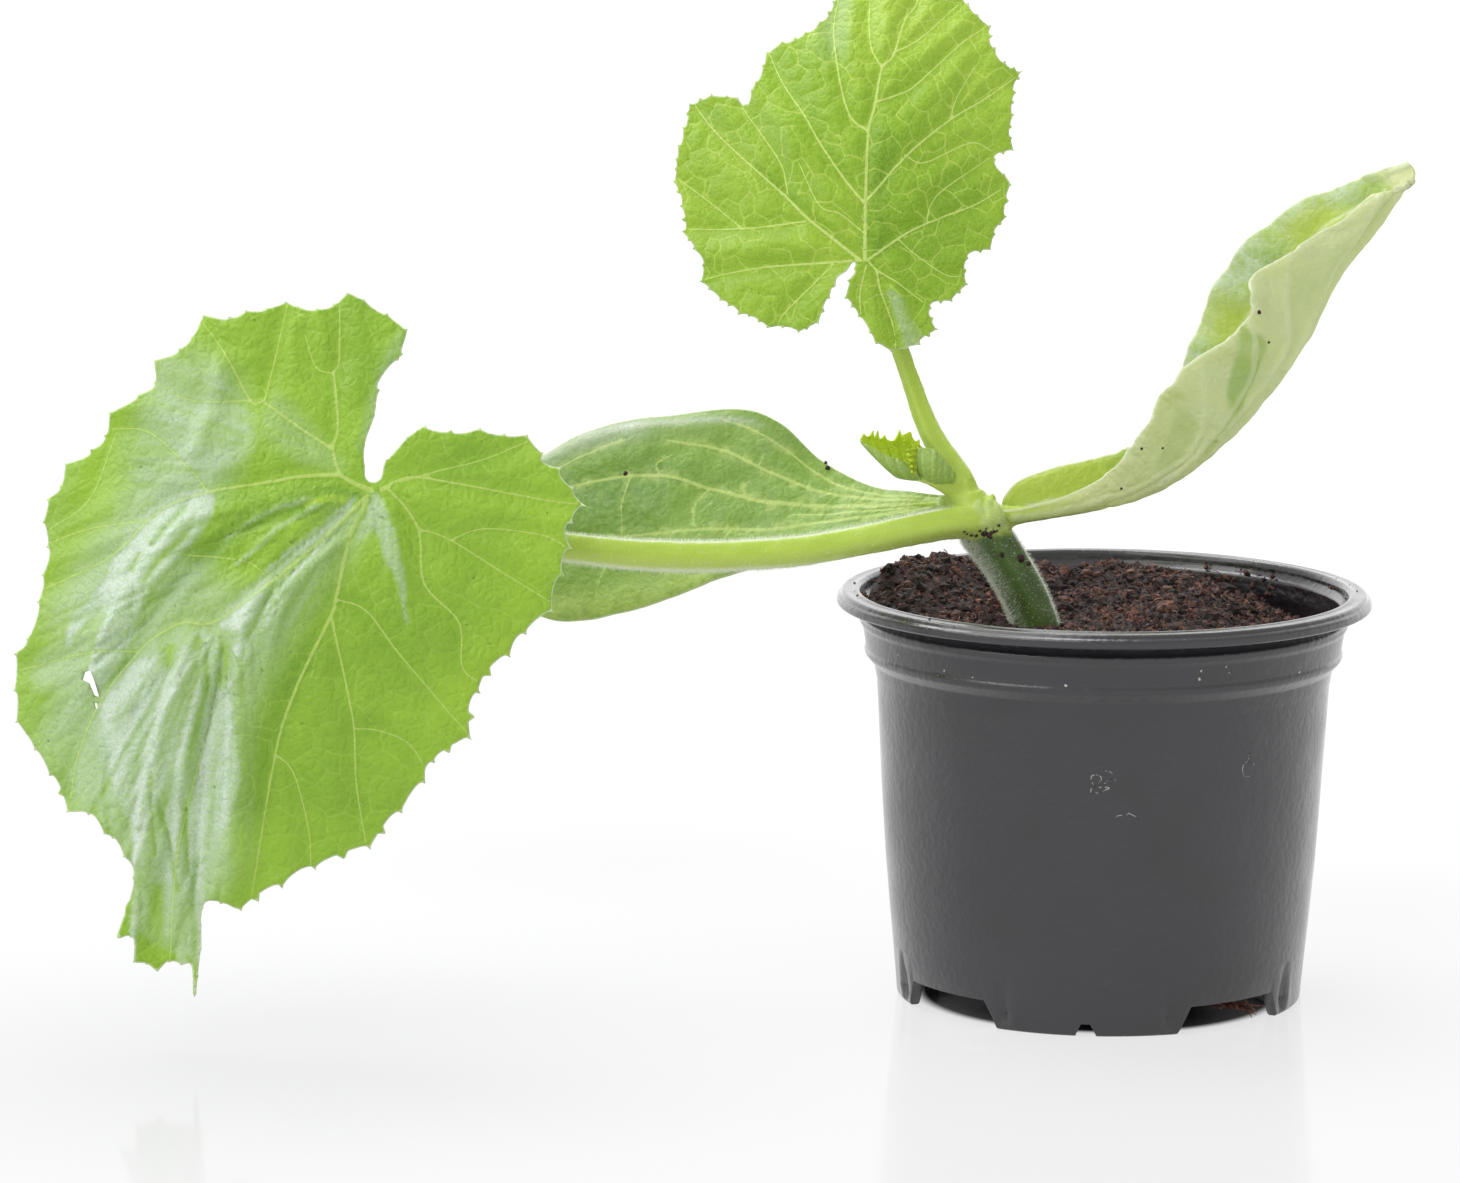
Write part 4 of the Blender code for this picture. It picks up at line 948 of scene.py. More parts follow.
def clipped(lines, outline, margin):
    """The runs of each line that stay inside an outline, a margin away from it."""
    points = np.vstack([line[:, :2] for line in lines])
    keep = in_ring(points, outline) & (nearest(outline, points)[0] > margin)
    runs = []
    start = 0
    for line in lines:
        inside = keep[start:start + len(line)]
        start += len(line)
        cuts = np.flatnonzero(np.diff(inside.astype(int))) + 1
        for run, first in zip(np.split(line, cuts), [0, *cuts]):
            if inside[first] and len(run) > 2:
                runs.append(run)
    return runs


def in_ring(points, ring):
    """True for the points inside a closed ring."""
    found = np.zeros(len(points), bool)
    for (ax, ay), (bx, by) in zip(ring, np.roll(ring, -1, axis=0)):
        if ay != by:
            crosses = (ay > points[:, 1]) != (by > points[:, 1])
            found ^= crosses & (points[:, 0] < (bx - ax) * (points[:, 1] - ay) / (by - ay) + ax)
    return found


def fill(outline, lines, step, holes):
    """Triangles that fill an outline, with corners along every line and none in the holes."""
    rings = [outline] + [np.asarray(hole, float) for hole in holes]
    fixed = np.vstack(rings + lines)
    low, high = outline.min(0), outline.max(0)
    rows = np.arange(low[1], high[1], step * math.sqrt(0.75))
    spots = np.array([(x + step / 2 * (index % 2), y) for index, y in enumerate(rows)
                      for x in np.arange(low[0], high[0], step)])
    spots = spots[nearest(fixed, spots)[0] > 0.45 * step]
    edges = []
    start = 0
    for ring in rings:
        edges += [(start + i, start + (i + 1) % len(ring)) for i in range(len(ring))]
        start += len(ring)
    for line in lines:
        edges += [(start + i, start + i + 1) for i in range(len(line) - 1)]
        start += len(line)
    corners = [Vector(p) for p in np.vstack([fixed, spots])]
    flat, _, faces, _, _, _ = geometry.delaunay_2d_cdt(corners, edges, [list(range(len(outline)))], 1, 0.02)
    flat, faces = np.array(flat), np.array(faces)
    middles = flat[faces].mean(axis=1)
    for hole in rings[1:]:
        faces = faces[~in_ring(middles, hole)]
        middles = flat[faces].mean(axis=1)
    used, places = np.unique(faces, return_inverse=True)
    return flat[used], places.reshape(faces.shape)


def dome(x, y, middle, reach, height, margin):
    return height * np.exp(-((x - middle[0]) / reach[0]) ** 2 - ((y - middle[1]) / reach[1]) ** 2) - margin


def left_form(x, y):
    """How far the left leaf stands forward of its plane."""
    bend = dome(x, y, (-20, -30), (45, 60), 14.0, 8.2)
    pleat = 1.0 * np.sin((x + 0.55 * y) / 6.5) * np.clip((-y - 20) / 60, 0, 1) * (1 - ease(-6, 4, x))
    return bend - 12 * (np.clip(-x - 40, 0, None) / 40) ** 2 + 0.1 * np.clip(x, 0, None) + pleat


def top_form(x, y):
    """How far the top leaf stands forward of its plane."""
    bend = dome(x, y, (-4, 25), (38, 45), 12.0, 8.7)
    return bend - 10 * (np.clip(y - 35, 0, None) / 38) ** 2 - 0.1 * np.abs(x - 0.1 * y)


def painted(flat, areas):
    """The areas' strengths at each point, the strongest winning, each with its sign."""
    found = np.zeros(len(flat))
    for strength, width, course in areas:
        value = stripe(flat, course, strength, width, 4)
        found = np.where(np.abs(value) > np.abs(found), value, found)
    return found


def pale_hair_and_sheen(flat, areas, crests, slots):
    """How thick the pale hair and its painted sheen lie at each point."""
    wavy = flat + 0.45 * np.column_stack([rough(flat, 3.5, 11), rough(flat, 3.5, 12)])
    found = np.zeros(len(flat))
    for strength, soft, corners in areas:
        ring = smooth(corners, 1.0, closed=True)
        away, _ = nearest(ring, wavy)
        inside = np.where(in_ring(wavy, ring), away, -away)
        found = np.maximum(found, strength * ease(-soft, soft, inside))
    for strength, width, course in crests:
        found = np.maximum(found, stripe(wavy, course, strength, width, fade=0.08))
    for width, course in slots:
        found *= 1 - stripe(wavy, course, 0.8, width, fade=0.15)
    return found


def left_flow(x, y):
    """Wrinkles of the left leaf: they fan out from the joint, and below from the midrib's bend."""
    upper = np.column_stack([26 * np.arctan2(x - 3, 3 - y), np.hypot(x - 3, y - 3) / 22])
    lower = np.column_stack([30 * np.arctan2(x + 27, -12 - y), np.hypot(x + 27, y + 12) / 26])
    share = ease(-22, -40, y + 0.3 * (x + 30))
    return rough(upper, 1, 3, 2) * (1 - share) + rough(lower, 1, 5, 2) * share


def top_flow(x, y):
    """Wrinkles of the top leaf: they fan out from the joint."""
    return rough(np.column_stack([12 * np.arctan2(x, y), np.hypot(x, y) / 12]), 1, 7, 2)


def make_blade(name, leaf, form, flow, material):
    """A big leaf: teeth, veins, the net between them, puckers, folds and thickness."""
    outline = toothed(leaf["outline"], leaf["hollows"], leaf["apex"], leaf["bare"], leaf["seed"])
    veins = clipped(vein_lines(leaf["veins"]), outline, 0.4)
    net = clipped(net_lines(outline, leaf["cell"], leaf["seed"]), outline, 0.4)
    flat, faces = fill(outline, [line[:, :2] for line in veins + net], leaf["step"], leaf["holes"])
    x, y = flat.T
    vein_points = np.vstack([smooth(v, 0.15) for v in veins])
    vein_away, which = nearest(vein_points[:, :2], flat)
    width = vein_points[which, 2]
    net_points = np.vstack([smooth(line, 0.2) for line in net])
    net_away, which = nearest(net_points[:, :2], flat)
    net_away = net_away / net_points[which, 2]
    rim_away, _ = nearest(outline, flat)
    stand = form(x, y)
    for height, left, right, course in leaf["folds"]:
        away, share = beside(flat, smooth(course, 3))
        fade = ease(0, 0.2, share) * (1 - 0.5 * ease(0.85, 1, share))
        stand += height * fade * np.exp(-(away / np.where(away < 0, left, right)) ** 2)
    streak = flow(x, y)
    stand += painted(flat, leaf["wrinkles"]) * (0.6 - 1.6 * np.abs(streak))
    puff = 1 - np.exp(-(vein_away / leaf["puff_width"]) ** 2)
    stand += leaf["puff"] * (puff + 0.34 * (1 - np.exp(-(net_away / 1.1) ** 2)) * puff)
    stand += 0.9 * rough(flat, 16, leaf["seed"], 2) * ease(0, 12, rim_away)
    stand += 0.07 * rough(flat, 1.7, leaf["seed"] + 2)
    stand += 0.7 * rough(flat, 7, leaf["seed"] + 1) * (1 - ease(0, 6, rim_away))
    for _, half_width, course in leaf["crests"]:
        stand += stripe(flat, course, 0.5, 1.4 * half_width, fade=0.1)
    for half_width, course in leaf["slots"]:
        stand -= stripe(flat, course, 0.6, 1.3 * half_width)
    ridge = np.clip(1 - (vein_away / width) ** 2, 0, 1)
    stand += 0.35 * width * ridge
    out = -stand
    turned_y = out * math.cos(LEAN) + y * math.sin(LEAN)
    turned_z = -out * math.sin(LEAN) + y * math.cos(LEAN)
    points = np.column_stack([x, turned_y, turned_z]) + leaf["joint"]
    normals = corner_normals(points, faces)
    # painted sheen: the pale hair shows more where the surface faces the light at the upper left and along the
    # streaks of its wrinkles
    facing = -0.85 * normals[:, 0] + 0.35 * normals[:, 2]
    area = pale_hair_and_sheen(flat, leaf["bloom"], leaf["crests"], leaf["slots"])
    bloom = area * np.clip(0.86 + 0.5 * streak + 0.5 * (facing - 0.1), 0.1, 1.1)
    bloom = np.clip(bloom + 0.1 * ease(0.25, 0.6, facing), 0, 1)
    marks = {
        "vein": vein_away / width, "net": net_away, "rim": rim_away,
        "bloom": bloom * (1 - 0.6 * ridge), "tone": painted(flat, leaf["tone"]),
        "cover": 0.04 + 0.35 * ridge + 1.0 * ease(0.7, 0.1, rim_away),
    }
    half = 0.5 * LEAF_THICK * (0.3 + 0.7 * ease(0, 1.2, rim_away))
    rib = 1.4 * width * np.clip(1 - (vein_away / (1.2 * width)) ** 2, 0, 1) ** 0.5
    made = thicken(points, faces, half, half + rib * ease(0, 2, rim_away), marks)
    return add_piece(name, new_mesh(name, *made), material)


# ---------------------------------------------------------------- lofted leaves

def loft_points(edges, places, across):
    near, middle, far = [along(rail, places) for rail in edges]
    s = np.asarray(across, float)[..., None]
    return near * s * (s - 1) / 2 + middle * (1 - s * s) + far * s * (s + 1) / 2


def make_seed_leaf(name, edges, veins, rows, fold, shape, paint, material):
    """A seed leaf: a lofted trough with soft veins; shape moves it and paint marks it."""
    last, columns = len(edges[0]) - 1, 96
    place, across = grid_places(np.linspace(0, last, rows), np.linspace(-1, 1, columns))
    points = loft_points(edges, place, across)
    faces = grid_faces(rows, columns)
    lines = []
    for start, end, course in veins:
        way = smooth(course, 0.05)
        lines.append(np.column_stack([loft_points(edges, way[:, 0], way[:, 1]),
                                      np.linspace(start, end, len(way))]))
    lines = np.vstack([smooth(line, 0.25) for line in lines])
    vein_away, which = nearest(lines[:, :3], points)
    width = lines[which, 3]
    rim = np.vstack([smooth(loft_points(edges, np.linspace(0, last, 200), np.full(200, side)), 0.3)
                     for side in (-1.0, 1.0)])
    rim_away, _ = nearest(rim, points)
    normals = corner_normals(points, faces)
    lift = fold * (1 - np.exp(-(vein_away / 3.5) ** 2)) + 0.5 * rough(points, 9, 3, 2) + shape(place, across)
    lift += 0.12 * rough(points, 2.2, 4)
    points = points + normals * lift[:, None]
    marks = {"vein": vein_away / width, "net": np.full(len(points), 3.0), "rim": rim_away,
             **paint(place, across, points)}
    half = 0.5 * SEED_THICK * (0.35 + 0.65 * ease(0, 1.6, rim_away))
    rib = 0.35 * width * np.clip(1 - (vein_away / width) ** 2, 0, 1)
    made = thicken(points, faces, half, half + rib, marks)
    place = np.tile(place, 2)
    made[2]["under"] = np.maximum(made[2]["under"] * ease(0.5, 3.0, place), ease(13.1, 13.5, place))
    return add_piece(name, new_mesh(name, *made), material)


def left_seed_shape(place, across):
    """Soft waves along the blade and a lip that curls back at its top edge."""
    waves = 0.7 * np.sin(place * 2.3 + across * 2) * ease(2, 5, place)
    return waves - 1.2 * ease(-0.75, -1, across) * ease(3, 6, place)


def left_seed_paint(place, across, points):
    # Pale hair with painted sheen along one edge, and painted light and shade: a darker patch in the middle,
    # lighter towards the other edge and by the stalk.
    wave = rough(np.column_stack([place * 1.2, across * 2]), 1, 6, 2)
    bloom = (0.75 + 0.5 * wave) * ease(5.0, 7.5, place) * ease(-0.45, -0.95, across)
    bloom += 0.45 * np.exp(-((across + 0.86) / 0.05) ** 2) * ease(4, 5, place) * ease(7.5, 6.5, place)
    bloom += 0.05 * ease(0.2, 0.5, wave)
    tone = -1.2 * np.exp(-((place - 7) / 2.6) ** 2 - ((across + 0.05) / 0.5) ** 2) * (0.7 + 0.5 * wave)
    tone += ease(0.6, 0.95, across) * ease(4.5, 6, place) + 0.1 * ease(4.0, 2.0, place)
    return {"bloom": np.clip(bloom, 0, 1), "tone": np.clip(tone, -1, 1)}


def right_seed_shape(place, across):
    """Long folds down the near flap and a ruffled margin."""
    flap = ease(0.1, -0.4, across) * ease(3, 6, place) * (1 - ease(12.5, 14, place))
    folds = 1.3 * np.abs(np.sin(4.6 * across + 0.75 * place + 0.4)) * flap
    ruffle = 1.1 * np.sin(4.4 * place) * ease(0.72, 1, np.abs(across)) * ease(4, 7, place)
    inner = 0.5 * np.sin(5.2 * place + 6 * across) * ease(0.5, 0.9, across) * ease(5, 7, place)
    crinkle = 0.9 * rough(np.column_stack([place * 4, np.sign(across)]), 1, 9, 2) * ease(0.8, 1, np.abs(across))
    return folds + ruffle + inner + crinkle * ease(2, 5, place)


def right_seed_paint(place, across, points):
    # Pale hair with painted sheen on the far side, painted light in two bright patches, and painted shade in the
    # folds of the near flap.
    far = ease(0.1, 0.4, across)
    wave = rough(np.column_stack([place * 1.4, across * 2.5]), 1, 8, 2)
    fine = rough(points, 1.6, 5)
    bloom = 0.85 * far * ease(0.5, 0.95, across) * ease(4.5, 7, place) * (0.7 + 0.8 * wave + 0.7 * fine)
    bright_patches = np.exp(-((place - 11.5) / 0.8) ** 2 - ((across - 0.75) / 0.22) ** 2)
    bright_patches += np.exp(-((place - 8.5) / 0.8) ** 2 - ((across - 0.8) / 0.25) ** 2)
    bloom *= 1 - 0.85 * np.minimum(bright_patches, 1)
    bloom += 0.15 * (1 - far) * ease(0.1, 0.5, wave)
    tone = bright_patches
    tone += 0.8 * ease(4.5, 3.0, place) - 0.2 * (1 - far) * ease(0.0, 0.5, -wave) * ease(3, 5, place)
    # painted shade in the folds of the near flap: start and end along the blade, place across at each, and how
    # dark
    for start, end, low, high, deep in ((7.1, 8.9, -0.42, -0.92, 1.1), (4.6, 6.4, -0.5, -0.74, 0.5),
                                        (5.6, 7.4, -0.14, -0.4, 0.5), (9.6, 12.2, -0.3, -0.66, 0.25)):
        share = (place - start) / (end - start)
        middle = low + (high - low) * share
        panel = ease(-0.08, 0.2, share) * ease(1.08, 0.9, share) * ease(0.17, 0.1, np.abs(across - middle))
        tone -= deep * (1 - far) * panel * (0.8 + 0.6 * wave)
    return {"bloom": np.clip(bloom, 0, 1), "tone": np.clip(tone, -1, 1)}


def make_young_leaf(material):
    """The folded leaf at the crown: spiky margins, ribbed outside with painted light and shade on the ribs, and
    an inside brightened by painted light.
    """
    sheets, marks = [], {}
    for seed, (spike, lower, middle, upper) in enumerate(YOUNG_FOLDS):
        rows, columns = 100, 30
        last = len(lower) - 1
        place, across = grid_places(np.linspace(0, last, rows), np.linspace(-1, 1, columns))
        points = loft_points([lower, middle, upper], place, across)
        share = place / last
        taper = ease(0, 0.1, share) * ease(1, 0.88, share)
        inner, curled = seed in (1, 2), seed == 2
        margin = ease(0.5, 1, np.abs(across) if curled else across)
        wave = np.abs(np.sin(share * 24 + 5 * rough(np.column_stack([share * 5, 0 * across]), 1, seed)))
        uneven = 0.6 + 0.8 * np.clip(0.5 + rough(np.column_stack([share * 9, 0 * across]), 1, seed + 3), 0, 1)
        teeth = 0.65 * spike * margin * taper * (1 - wave ** 0.7) * uneven * (1.3 if inner else 1)
        points[:, 2] += teeth * (1.2 if not curled else 0.3)
        points[:, 0] += teeth * (0.25 if not curled else np.sign(across) * 0.9)
        ribs = np.cos(share * 34 + 2.5 * across)
        points[:, 1] += taper * ((0.8 if inner else 0.22) * ribs * (0.3 + 0.7 * margin))
        faces = grid_faces(rows, columns)
        paint = {
            "vein": 0.3 + 1.2 * np.abs(np.sin(share * 17 + 1.3 * across)), "net": np.full(len(points), 3.0),
            "rim": np.full(len(points), 1.0), "bloom": np.full(len(points), 0.0 if inner else 0.12),
            # painted light on the inner flaps, brightest at their margins, and painted light and shade along the
            # outer ribs
            "tone": (0.8 * margin + 0.2 if inner else 0.4 * ribs),
        }
        half = np.full(len(points), 0.2)
        sheet = thicken(points, faces[:, ::-1], half, half, paint)
        if not inner:
            sheet[2]["under"] = np.ones(2 * len(points))
        else:
            sheet[2]["under"] = np.zeros(2 * len(points))
        sheets.append(sheet[:2])
        for key, values in sheet[2].items():
            marks.setdefault(key, []).append(values)
    marks = {key: np.concatenate(values) for key, values in marks.items()}
    points, faces = joined(sheets)
    return add_piece("young_leaf_blade", new_mesh("young_leaf_blade", points, faces, marks), material)


# ---------------------------------------------------------------- stalks

def spine(route, step):
    """Middle points, radii and three directions along a stalk: onward, sideways and across."""
    line = smooth(route, step)
    centre, radius = line[:, :3], np.maximum(line[:, 3], 0.05)
    way = np.gradient(centre, axis=0)
    way /= np.linalg.norm(way, axis=1, keepdims=True)
    side = np.cross(way, (0, 1, 0.1))
    side /= np.linalg.norm(side, axis=1, keepdims=True)
    return centre, radius, way, side, np.cross(way, side)


def tube(route, sides, step):
    """Points and faces of a closed round stalk."""
    centre, radius, _, side, other = spine(route, step)
    angle = np.linspace(0, 2 * math.pi, sides, endpoint=False)
    outward = side[:, None] * np.cos(angle)[None, :, None] + other[:, None] * np.sin(angle)[None, :, None]
    points = (centre[:, None] + outward * radius[:, None, None]).reshape(-1, 3)
    return points, ring_faces(len(centre), sides, -1)


def grown_together(name, routes, material):
    """Several stalks as one closed skin whose joints run smoothly into each other."""
    points, faces = joined([tube(route, 24, 0.8) for route in routes])
    piece = add_piece(name, new_mesh(name, points, faces), material)
    skin = piece.modifiers.new("skin", "REMESH")
    skin.mode = "VOXEL"
    skin.voxel_size = SKIN_GRID * MM
    soft = piece.modifiers.new("soft", "SMOOTH")
    soft.factor = 0.5
    soft.iterations = SKIN_ROUNDS
    bake(piece)
    return piece, places_of(piece)


def ribbed(piece, places, routes, ribs):
    """Raises lengthwise ribs on a skin; gives its points, facings and nearness to each stalk."""
    nearness = np.zeros((len(routes), len(places)))
    rib = np.zeros((len(routes), len(places)))
    for index, (route, (count, height)) in enumerate(zip(routes, ribs)):
        centre, radius, _, side, other = spine(route, 0.5)
        away, which = nearest(centre, places)
        offset = places - centre[which]
        angle = np.arctan2(np.sum(offset * other[which], axis=1), np.sum(offset * side[which], axis=1))
        nearness[index] = away / radius[which]
        rib[index] = np.cos(count * angle) * height * np.minimum(radius[which], 4)
    rib = rib[np.argmin(nearness, axis=0), np.arange(len(places))]
    normals = np.array([v.normal for v in piece.data.vertices])
    moved = places + normals * (rib + 0.12 * rough(places, 3.5, 2, 2))[:, None]
    move_to(piece, moved)
    return moved, normals, nearness, rib


def flecked(name, piece, flecks, material):
    """Small lumps of soil that stick to the front of a piece."""
    places = places_of(piece)
    lean = (0, math.sin(ELEVATION), math.cos(ELEVATION))
    lumps = []
    for across, up, size in flecks:
        away = np.hypot(places[:, 0] - across, (places - AIM) @ lean - up)
        front = places[np.argmin(places[:, 1] + 20 * np.maximum(away - 0.6, 0))]
        route = [(*(front + (0, 0.2, -0.9 * size)), 0.3 * size), (*(front + (0.3 * size, 0, 0)), size),
                 (*(front + (0, 0.2, 0.8 * size)), 0.4 * size)]
        points, faces = tube(route, 9, 0.3 * size)
        lumps.append((points + 0.3 * size * rough(points, 0.8 * size, len(lumps))[:, None], faces))
    return add_piece(name, new_mesh(name, *joined(lumps)), material)


# ---------------------------------------------------------------- pieces and scattered things

def hand_in(piece, slot, *nodes):
    """Ties a finished piece to the part's body and hides the imported parts it stands for; slot is not used."""
    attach(piece, "root")
    if nodes:
        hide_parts(*nodes)


def new_tree(name, sizes):
    """A geometry tree with a named number for each size, and its ends."""
    tree = bpy.data.node_groups.new(name, "GeometryNodeTree")
    tree.interface.new_socket(name="Geometry", in_out="INPUT", socket_type="NodeSocketGeometry")
    tree.interface.new_socket(name="Geometry", in_out="OUTPUT", socket_type="NodeSocketGeometry")
    for size in sizes:
        kind = "NodeSocketInt" if size == "seed" else "NodeSocketFloat"
        tree.interface.new_socket(name=size, in_out="INPUT", socket_type=kind)
    start = tree.nodes.new("NodeGroupInput")
    finish = tree.nodes.new("NodeGroupOutput")
    return tree, start.outputs, finish.inputs


def scatter_tree(name, shape_of, material, tilt, thin_to, thick_to):
    """Scatters copies of a small shape over a surface, thickest where its "cover" mark is highest."""
    tree, given, result = new_tree(name, ["density", "size", "seed"])
    thick = node(tree, "GeometryNodeInputNamedAttribute", {"Name": "cover"}, data_type="FLOAT")
    density = together(tree, "MULTIPLY", thick.outputs[0], given["density"])
    spots = node(tree, "GeometryNodeDistributePointsOnFaces",
                 {"Mesh": given["Geometry"], "Density": density, "Seed": given["seed"]})
    turn = node(tree, "FunctionNodeRandomValue", {"Min": (-tilt, -tilt, 0.0), "Max": (tilt, tilt, 6.28),
                                                  "Seed": given["seed"]}, data_type="FLOAT_VECTOR")
    facing = node(tree, "FunctionNodeRotateRotation", {0: spots.outputs["Rotation"], 1: turn.outputs[0]},
                  rotation_space="LOCAL")
    share = node(tree, "FunctionNodeRandomValue", {2: thin_to, 3: thick_to, "Seed": given["seed"]},
                 data_type="FLOAT")
    size = together(tree, "MULTIPLY", share.outputs[1], given["size"])
    copies = node(tree, "GeometryNodeInstanceOnPoints",
                  {"Points": spots.outputs["Points"], "Instance": shape_of(tree),
                   "Rotation": facing.outputs[0], "Scale": size})
    real = node(tree, "GeometryNodeRealizeInstances", {"Geometry": copies.outputs[0]})
    dressed = node(tree, "GeometryNodeSetMaterial", {"Geometry": real.outputs[0], "Material": material})
    tree.links.new(dressed.outputs[0], result["Geometry"])
    return tree


def hair_shape(tree):
    """One hair, 1 mm long; a real one is 0.05 mm thick, and this one twice that, so that it shows."""
    cone = node(tree, "GeometryNodeMeshCone", {"Vertices": 3, "Radius Top": 0.0, "Radius Bottom": 0.045 * MM,
                                               "Depth": 1.0 * MM})
    return cone.outputs["Mesh"]


def crumb_shape(tree):
    """One crumb of soil, about 1 mm across, knocked out of round."""
    ball = node(tree, "GeometryNodeMeshIcoSphere", {"Radius": 0.5 * MM, "Subdivisions": 1})
    bend = node(tree, "ShaderNodeTexNoise", {"Scale": 1 / (0.8 * MM), "Detail": 1.0})
    shift = node(tree, "ShaderNodeVectorMath", {0: bend.outputs["Color"], 1: (0.5, 0.5, 0.5)},
                 operation="SUBTRACT")
    scaled = node(tree, "ShaderNodeVectorMath", {0: shift.outputs[0], 3: 0.9 * MM}, operation="SCALE")
    moved = node(tree, "GeometryNodeSetPosition", {"Geometry": ball.outputs["Mesh"],
                                                   "Offset": scaled.outputs[0]})
    return moved.outputs[0]


def fibre_shape(tree):
    """One bent strand of peat fibre, about 3 mm long and 0.3 mm thick."""
    curve = node(tree, "GeometryNodeCurveQuadraticBezier",
                 {"Resolution": 4, "Start": (-1.5 * MM, 0, 0.1 * MM), "Middle": (0, 0.9 * MM, 0.5 * MM),
                  "End": (1.5 * MM, -0.2 * MM, 0)})
    ring = node(tree, "GeometryNodeCurvePrimitiveCircle", {"Resolution": 4, "Radius": 0.16 * MM})
    strand = node(tree, "GeometryNodeCurveToMesh", {"Curve": curve.outputs[0],
                                                    "Profile Curve": ring.outputs[0], "Fill Caps": True})
    return strand.outputs[0]


def scattered(name, surface, tree, density, size, seed):
    """A plain mesh of what the tree scatters over a surface; density is per square cm."""
    made = add_piece(name, surface.data.copy())
    sockets = {item.name: item.identifier for item in tree.interface.items_tree if item.in_out == "INPUT"}
    scatter = made.modifiers.new("scatter", "NODES")
    scatter.node_group = tree
    scatter[sockets["density"]] = density * 10000.0
    scatter[sockets["size"]] = size
    scatter[sockets["seed"]] = seed
    bake(made)
    made.data.name = name
    return made


# ---------------------------------------------------------------- pot and soil

def wall_radius(z):
    share = np.minimum(z, WALL_TOP) / WALL_TOP
    swell = WALL_SWELL * np.sin(math.pi * share)
    return FOOT_RADIUS + (BODY_TOP_RADIUS - FOOT_RADIUS) * (share + swell)


def rounded(profile, size=0.35, steps=3):
    """A profile whose corners are rounded off by curves of about the given size."""
    profile = np.asarray(profile, float)
    points = [profile[0]]
    for before, corner, after in zip(profile, profile[1:], profile[2:]):
        a = corner + (before - corner) * min(size / np.linalg.norm(before - corner), 0.45)
        b = corner + (after - corner) * min(size / np.linalg.norm(after - corner), 0.45)
        for t in np.linspace(0, 1, steps + 1):
            points.append((1 - t) ** 2 * a + 2 * t * (1 - t) * corner + t * t * b)
    points.append(profile[-1])
    return np.array(points)


def pot_profile():
    """Radius and height from the middle of the floor up the inside, over the rim and down."""
    heights = np.linspace(12, 72, 7)
    inner = [(wall_radius(10) - WALL - 1.2, FLOOR_HEIGHT + WALL), (wall_radius(12) - WALL, 10.2)]
    inner += [(wall_radius(z) - WALL, z) for z in heights]
    inner += [(BODY_TOP_RADIUS - WALL, WALL_TOP - 0.4), (COLLAR_RADIUS - WALL, COLLAR_BOTTOM),
              (COLLAR_RADIUS - WALL, 85.0), (COLLAR_RADIUS - 0.5, 87.0), (COLLAR_RADIUS - 0.3, 88.8),
              (COLLAR_RADIUS + 0.3, 89.3)]
    rim = [(54.4, 90.2), (54.5, 91.3), (54.8, 92.0), (55.3, POT_HEIGHT + 0.4), (55.9, POT_HEIGHT + 0.4),
           (56.4, 92.15), (57.2, 92.1), (58.2, 92.25), (58.7, 92.15), (59.0, 91.85), (59.15, 91.4),
           (59.5, 91.2), (59.85, 90.95), (RIM_RADIUS, 90.5), (RIM_RADIUS - 0.05, 89.9),
           (RIM_RADIUS, 89.5), (RIM_RADIUS - 0.3, 89.2), (59.3, 89.0), (58.0, 89.7), (54.5, 89.3),
           (53.7, 88.8), (53.9, 87.8), (54.3, 86.9), (54.7, COLLAR_TOP + 0.1)]
    outer = [(54.9, COLLAR_TOP - 0.5), (54.8, COLLAR_TOP - 1.3), (54.1, COLLAR_TOP - 2.3),
             (COLLAR_RADIUS, COLLAR_BOTTOM + 2.2), (COLLAR_RADIUS + 0.35, COLLAR_BOTTOM + 1.3),
             (COLLAR_RADIUS, COLLAR_BOTTOM + 0.2), (BODY_TOP_RADIUS + 0.5, WALL_TOP + 0.3),
             (BODY_TOP_RADIUS + 0.05, WALL_TOP - 2.4)]
    outer += [(wall_radius(z), z) for z in heights[::-1]]
    outer += [(wall_radius(4), 4), (FOOT_RADIUS + 0.1, 0.5), (FOOT_RADIUS - 0.3, 0)]
    under = [(FOOT_RADIUS - FOOT_WIDTH + 0.3, 0), (FOOT_RADIUS - FOOT_WIDTH, 0.4),
             (FOOT_RADIUS - FOOT_WIDTH - 0.3, FLOOR_HEIGHT), (0.01, FLOOR_HEIGHT)]
    return rounded([(0.01, FLOOR_HEIGHT + WALL)] + inner + rim + outer + under)


def turned(profile, steps):
    """Points and faces of a closed profile turned about the pot's axis."""
    angle = np.linspace(0, 2 * math.pi, steps, endpoint=False)
    radius, height = profile.T
    points = np.stack([radius[:, None] * np.sin(angle), -radius[:, None] * np.cos(angle),
                       np.broadcast_to(height[:, None], (len(height), steps))], axis=-1).reshape(-1, 3)
    return points, ring_faces(len(profile), steps, 1)


def wedge(turn, angle, height, slope):
    """A cutter with sloped sides that opens the foot ring at one place."""
    reach, start = FOOT_RADIUS + 6, FOOT_RADIUS - FOOT_WIDTH - 1.6
    points = []
    for top in (False, True):
        half = math.radians(angle * (slope if top else 1) / 2)
        for radius, side in ((start, -1), (reach, -1), (reach, 1), (start, 1)):
            spot = math.radians(turn) + side * half
            points.append((radius * math.sin(spot), -radius * math.cos(spot), height if top else -2))
    faces = [(0, 3, 2, 1), (4, 5, 6, 7), (0, 1, 5, 4), (1, 2, 6, 5), (2, 3, 7, 6), (3, 0, 4, 7)]
    return points, faces


